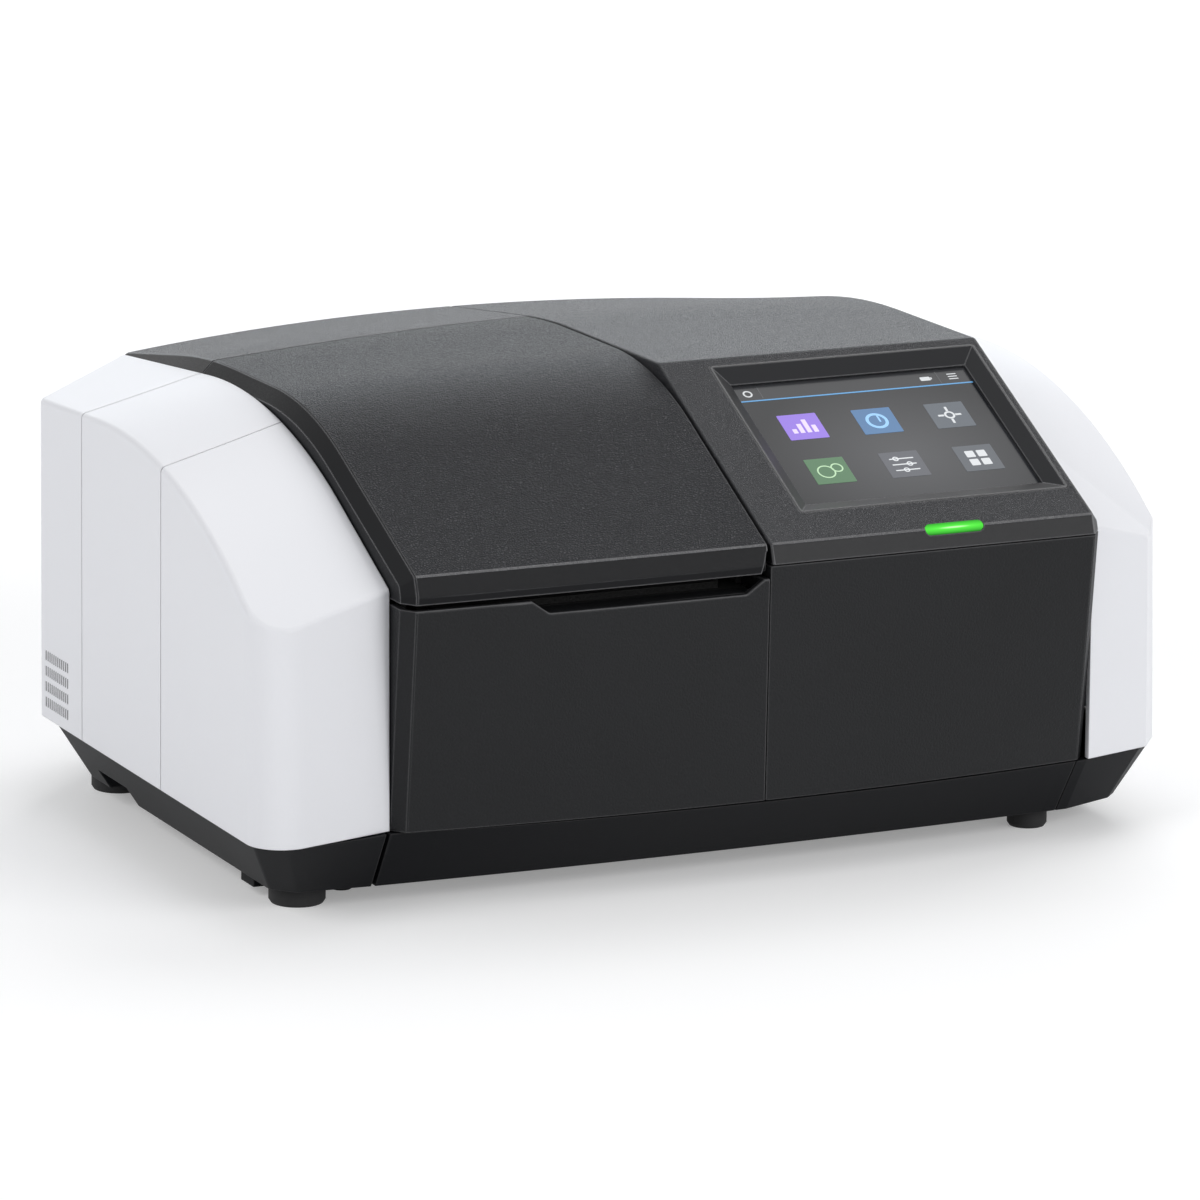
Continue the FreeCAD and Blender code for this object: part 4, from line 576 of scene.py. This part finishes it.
# Status light. A translucent bar set into the ridge, lit green from behind with a
# paler line along its middle and a darker rim.
LIGHT_MIDDLE = (0.10425, -0.172, 0.152)
RIM_GREEN = (0.008, 0.09, 0.01)
CORE_GREEN = (0.55, 1.0, 0.45)
status_green = glow(
    "status_green", RIM_GREEN, CORE_GREEN, LIGHT_MIDDLE, (0.05, 0.0034, 0.0034),
    roughness=0.35, between=((0.3, (0.04, 0.42, 0.03)), (0.72, (0.085, 0.78, 0.055)),
                             (0.8, (0.12, 0.86, 0.08)), (0.87, CORE_GREEN)))
dress(["status_light"], status_green)

# Slot shade sheet. A black plate behind the rear side cover's slots, put there as painted shade so
# that the slots look dark. It lies flat inside the cover.
SHADE_SHEET_PLACE = (-0.2216, 0.0665, 0.0560)
SHADE_SHEET_SIZE = (0.0007, 0.0325, 0.0310)
SHADE_SHEET_CORNER = 0.003
slot_shade_black = surface("slot_shade_black", leather_grain, {
    "Colour": (0.006, 0.006, 0.0065, 1), "Cells": 1600.0, "Painted crease shade": 0.3,
    "Roughness": 0.9}, depth=0.0003, strength=0.8, sheen=0.1)
slot_shade_sheet = plate("slot_shade_sheet", SHADE_SHEET_PLACE, SHADE_SHEET_SIZE, 0, SHADE_SHEET_CORNER)
settle(paint(slot_shade_sheet, slot_shade_black), Matrix.Identity(4), "chassis")

# Sample compartment. Matt black mouldings that swallow stray light: the deck with its
# cheeks, the tub, the lid's liner and the foam strip behind the lip.
chamber_black = surface("chamber_black", moulded_skin, {
    "Colour": (0.012, 0.012, 0.0125, 1), "Grain": 900.0, "Mottle": 0.3, "Roughness": 0.72},
    depth=0.0001, strength=0.6)
dress(["compartment_frame", "compartment_tub", "lid_liner"], chamber_black)
foam = surface("seal_foam", leather_grain, {
    "Colour": (0.02, 0.02, 0.02, 1), "Cells": 1100.0, "Painted crease shade": 0.35,
    "Roughness": 0.95}, depth=0.0003, strength=0.9)
dress(["light_seal"], foam)


# Cell holders, their plate and the small optics' mounts. Milled aluminium, black
# anodised, with faint tool marks in the milling direction.
def metal_group():
    """Rolled or milled metal: fine streaks along one axis and a little staining."""
    group, given, out = finish_group(
        "worked_metal", (("Streaks", 0.2), ("Roughness", 0.35)),
        vectors=(("Stretch", (40.0, 900.0, 900.0)),))
    place = add_node(group, "ShaderNodeTexCoord").outputs["Object"]
    stretched = add_node(group, "ShaderNodeVectorMath", {0: place, 1: given["Stretch"]},
                         operation="MULTIPLY").outputs[0]
    streak = add_node(group, "ShaderNodeTexNoise", {
        "Vector": stretched, "Scale": 1.0, "Detail": 4.0}).outputs["Fac"]
    stain = add_node(group, "ShaderNodeTexNoise", {
        "Vector": place, "Scale": 25.0, "Detail": 4.0}).outputs["Fac"]
    marks = maths(group, "ADD", streak, stain)
    value = maths(group, "MULTIPLY_ADD", marks, given["Streaks"], 0.85)
    gloss = maths(group, "MULTIPLY_ADD", stain, 0.15, given["Roughness"])
    return give_finish(group, out, given["Colour"], value, gloss, streak)


worked_metal = metal_group()
anodised = surface("black_anodised", worked_metal, {
    "Colour": (0.028, 0.028, 0.031, 1), "Streaks": 0.25, "Roughness": 0.38},
    depth=0.00003, strength=0.3, metallic=0.6)
dress(["holder_plate", "sample_cell_holder", "reference_cell_holder", "filter_wheel",
       "slit_plates", "detectors"], anodised)

# Optical bench. A thick milled aluminium plate on seven posts, bright, with long cutter
# marks.
bench_metal = surface("bench_aluminium", worked_metal, {
    "Colour": (0.60, 0.61, 0.62, 1), "Streaks": 0.12, "Roughness": 0.32},
    depth=0.00004, strength=0.35, metallic=1.0)
dress(["optical_bench"], bench_metal)

# Brackets, hinges, tins, motors, screws and sockets. Zinc-plated sheet and turned steel,
# faintly streaked.
plated = surface("plated_steel", worked_metal, {
    "Colour": (0.55, 0.55, 0.53, 1), "Streaks": 0.15, "Stretch": (600.0, 60.0, 600.0),
    "Roughness": 0.3}, depth=0.00002, strength=0.3, metallic=1.0)
dress(["lid_hinge_ears", "hinge_brackets", "hinge_pins", "display_bracket",
       "display_module", "power_supply", "lamp_house", "filter_motor", "grating_motor",
       "bench_screws", "rear_screws", "data_ports"], plated)


# Windows, lamps and the beam splitter. Polished quartz, clear with a faint cool tint.
# The lamps' bulbs are a little warmer and hazier.
def clear_glass(name, tint, roughness):
    """Clear glass with faint smears."""
    material, tree, shader = principled(name)
    shader.inputs["Transmission Weight"].default_value = 0.9
    shader.inputs["IOR"].default_value = 1.46
    place = add_node(tree, "ShaderNodeTexCoord").outputs["Object"]
    smear = add_node(tree, "ShaderNodeTexNoise", {
        "Vector": place, "Scale": 90.0}).outputs["Fac"]
    haze = add_node(tree, "ShaderNodeMapRange", {
        "Value": smear, "To Min": roughness, "To Max": roughness + 0.08})
    shade = add_node(tree, "ShaderNodeValToRGB", {"Fac": smear})
    shade.color_ramp.elements[0].color = (*[part * 0.9 for part in tint], 1)
    shade.color_ramp.elements[1].color = (*tint, 1)
    tree.links.new(haze.outputs["Result"], shader.inputs["Roughness"])
    tree.links.new(shade.outputs["Color"], shader.inputs["Base Color"])
    return material


dress(["beam_windows", "beam_splitter"], clear_glass("quartz", (0.86, 0.92, 0.95), 0.02))
dress(["deuterium_lamp", "halogen_lamp"], clear_glass("lamp_bulb", (0.95, 0.93, 0.88), 0.04))

# Mirrors and grating. Aluminised glass blanks, bright and faintly veiled by dust, and a
# blank ruled with fine upright grooves.
mirror_skin = surface("mirror_skin", worked_metal, {
    "Colour": (0.86, 0.87, 0.88, 1), "Streaks": 0.04, "Stretch": (80.0, 80.0, 80.0),
    "Roughness": 0.03}, depth=0.00001, strength=0.05, metallic=1.0)
dress(["lamp_mirror", "concave_mirrors", "fold_mirrors"], mirror_skin)
ruled = surface("ruled_grating", worked_metal, {
    "Colour": (0.70, 0.74, 0.80, 1), "Streaks": 0.3, "Stretch": (3000.0, 3000.0, 8.0),
    "Roughness": 0.12}, depth=0.00002, strength=0.5, metallic=1.0)
dress(["grating_table"], ruled)

# Circuit boards. Glass-fibre sheet under green solder mask, with the tracks showing as
# paler lines on a square grid.
MASK_GREEN = (0.012, 0.11, 0.045)
TRACK_GREEN = (0.05, 0.22, 0.09)
solder_mask, tree, shader = principled("solder_mask")
shader.inputs["Roughness"].default_value = 0.3
grid = add_node(tree, "ShaderNodeTexBrick", {
    "Vector": add_node(tree, "ShaderNodeTexCoord").outputs["Object"],
    "Scale": 260.0, "Mortar Size": 0.06, "Color1": (*MASK_GREEN, 1),
    "Color2": (*[part * 0.75 for part in MASK_GREEN], 1), "Mortar": (*TRACK_GREEN, 1)},
    offset=0.37).outputs
bump = add_node(tree, "ShaderNodeBump", {"Distance": 0.00005, "Height": grid["Fac"]})
tree.links.new(grid["Color"], shader.inputs["Base Color"])
tree.links.new(bump.outputs["Normal"], shader.inputs["Normal"])
dress(["main_board", "status_light_board"], solder_mask)

# Rear panel. Folded sheet steel with a light grey powder coat, its orange-peel surface
# broken by the fan's slots and the connector openings.
powder = surface("powder_coat", leather_grain, {
    "Colour": (0.58, 0.59, 0.61, 1), "Cells": 600.0, "Painted crease shade": 0.96,
    "Roughness": 0.55}, depth=0.00008, strength=0.4)
dress(["rear_panel"], powder)

# Inlet, switch and fan. Black moulded parts snapped or screwed into the rear panel, with
# a plain satin skin.
moulded_black = surface("moulded_black", moulded_skin, {
    "Colour": (0.016, 0.016, 0.017, 1), "Grain": 1200.0, "Mottle": 0.15, "Roughness": 0.42},
    depth=0.00005, strength=0.4)
dress(["power_inlet", "switch_frame", "power_rocker", "fan_frame", "fan_rotor"],
      moulded_black)


# Floor and light. A seamless white table in an even white room, with four broad soft
# boxes: over the back right corner, at the left, in front at the right, and low behind.
def seen_rays(tree):
    """One for what the camera sees, straight or in gloss and glass, and nought for the rest."""
    rays = add_node(tree, "ShaderNodeLightPath").outputs
    seen = maths(tree, "MAXIMUM", rays["Is Camera Ray"], rays["Is Glossy Ray"])
    return maths(tree, "MAXIMUM", seen, rays["Is Transmission Ray"])


start_clean()
bpy.ops.mesh.primitive_plane_add(size=14.0)
table = bpy.context.object
table.name = "table"
table_white, tree, shader = principled("table_white")
shader.inputs["Base Color"].default_value = (0.90, 0.90, 0.905, 1)
shader.inputs["Roughness"].default_value = 0.85
shader.inputs["Specular IOR Level"].default_value = 0.1
pale = add_node(tree, "ShaderNodeBsdfDiffuse", {"Color": (0.84, 0.84, 0.842, 1)})
lift = add_node(tree, "ShaderNodeEmission", {"Strength": 0.27})
paler = add_node(tree, "ShaderNodeAddShader", {0: pale.outputs[0], 1: lift.outputs[0]})
choose = add_node(tree, "ShaderNodeMixShader", {
    "Fac": seen_rays(tree), 1: shader.outputs[0], 2: paler.outputs[0]})
tree.links.new(choose.outputs[0], tree.nodes["Material Output"].inputs["Surface"])
paint(table, table_white)

world = bpy.data.worlds.new("white_room")
bpy.context.scene.world = world
world.use_nodes = True
tree = world.node_tree
room = tree.nodes["Background"]
room.inputs["Color"].default_value = (0.97, 0.98, 1.0, 1)
room.inputs["Strength"].default_value = 0.38
white = add_node(tree, "ShaderNodeBackground", {"Color": (1, 1, 1, 1)})
choose = add_node(tree, "ShaderNodeMixShader", {
    "Fac": seen_rays(tree), 1: room.outputs[0], 2: white.outputs[0]})
tree.links.new(choose.outputs[0], tree.nodes["World Output"].inputs["Surface"])


def soft_box(name, place, aim, width, length, power, colour=(1.0, 1.0, 1.0)):
    """An area lamp at its place, turned to what it lights."""
    lamp = bpy.data.lights.new(name, "AREA")
    lamp.shape = "RECTANGLE"
    lamp.size = width
    lamp.size_y = length
    lamp.energy = power
    lamp.color = colour
    holder = bpy.data.objects.new(name, lamp)
    bpy.context.collection.objects.link(holder)
    holder.location = place
    towards = Vector(aim) - Vector(place)
    holder.rotation_euler = towards.to_track_quat("-Z", "Y").to_euler()


AIM = (0.0, 0.0, 0.1)
AIM_HIGH = (0.0, 0.0, 0.15)
COOL_WHITE = (0.86, 0.94, 1.0)
soft_box("key_box", (1.1, 0.9, 2.0), AIM, 1.6, 1.4, 20.0)
soft_box("left_box", (-2.5, -0.6, 1.8), AIM, 1.6, 1.6, 29.0)
soft_box("front_box", (1.5, -2.7, 1.4), AIM, 2.0, 1.6, 38.0)
soft_box("back_box", (1.1, 2.6, 0.95), AIM_HIGH, 2.4, 0.8, 12.0, COOL_WHITE)
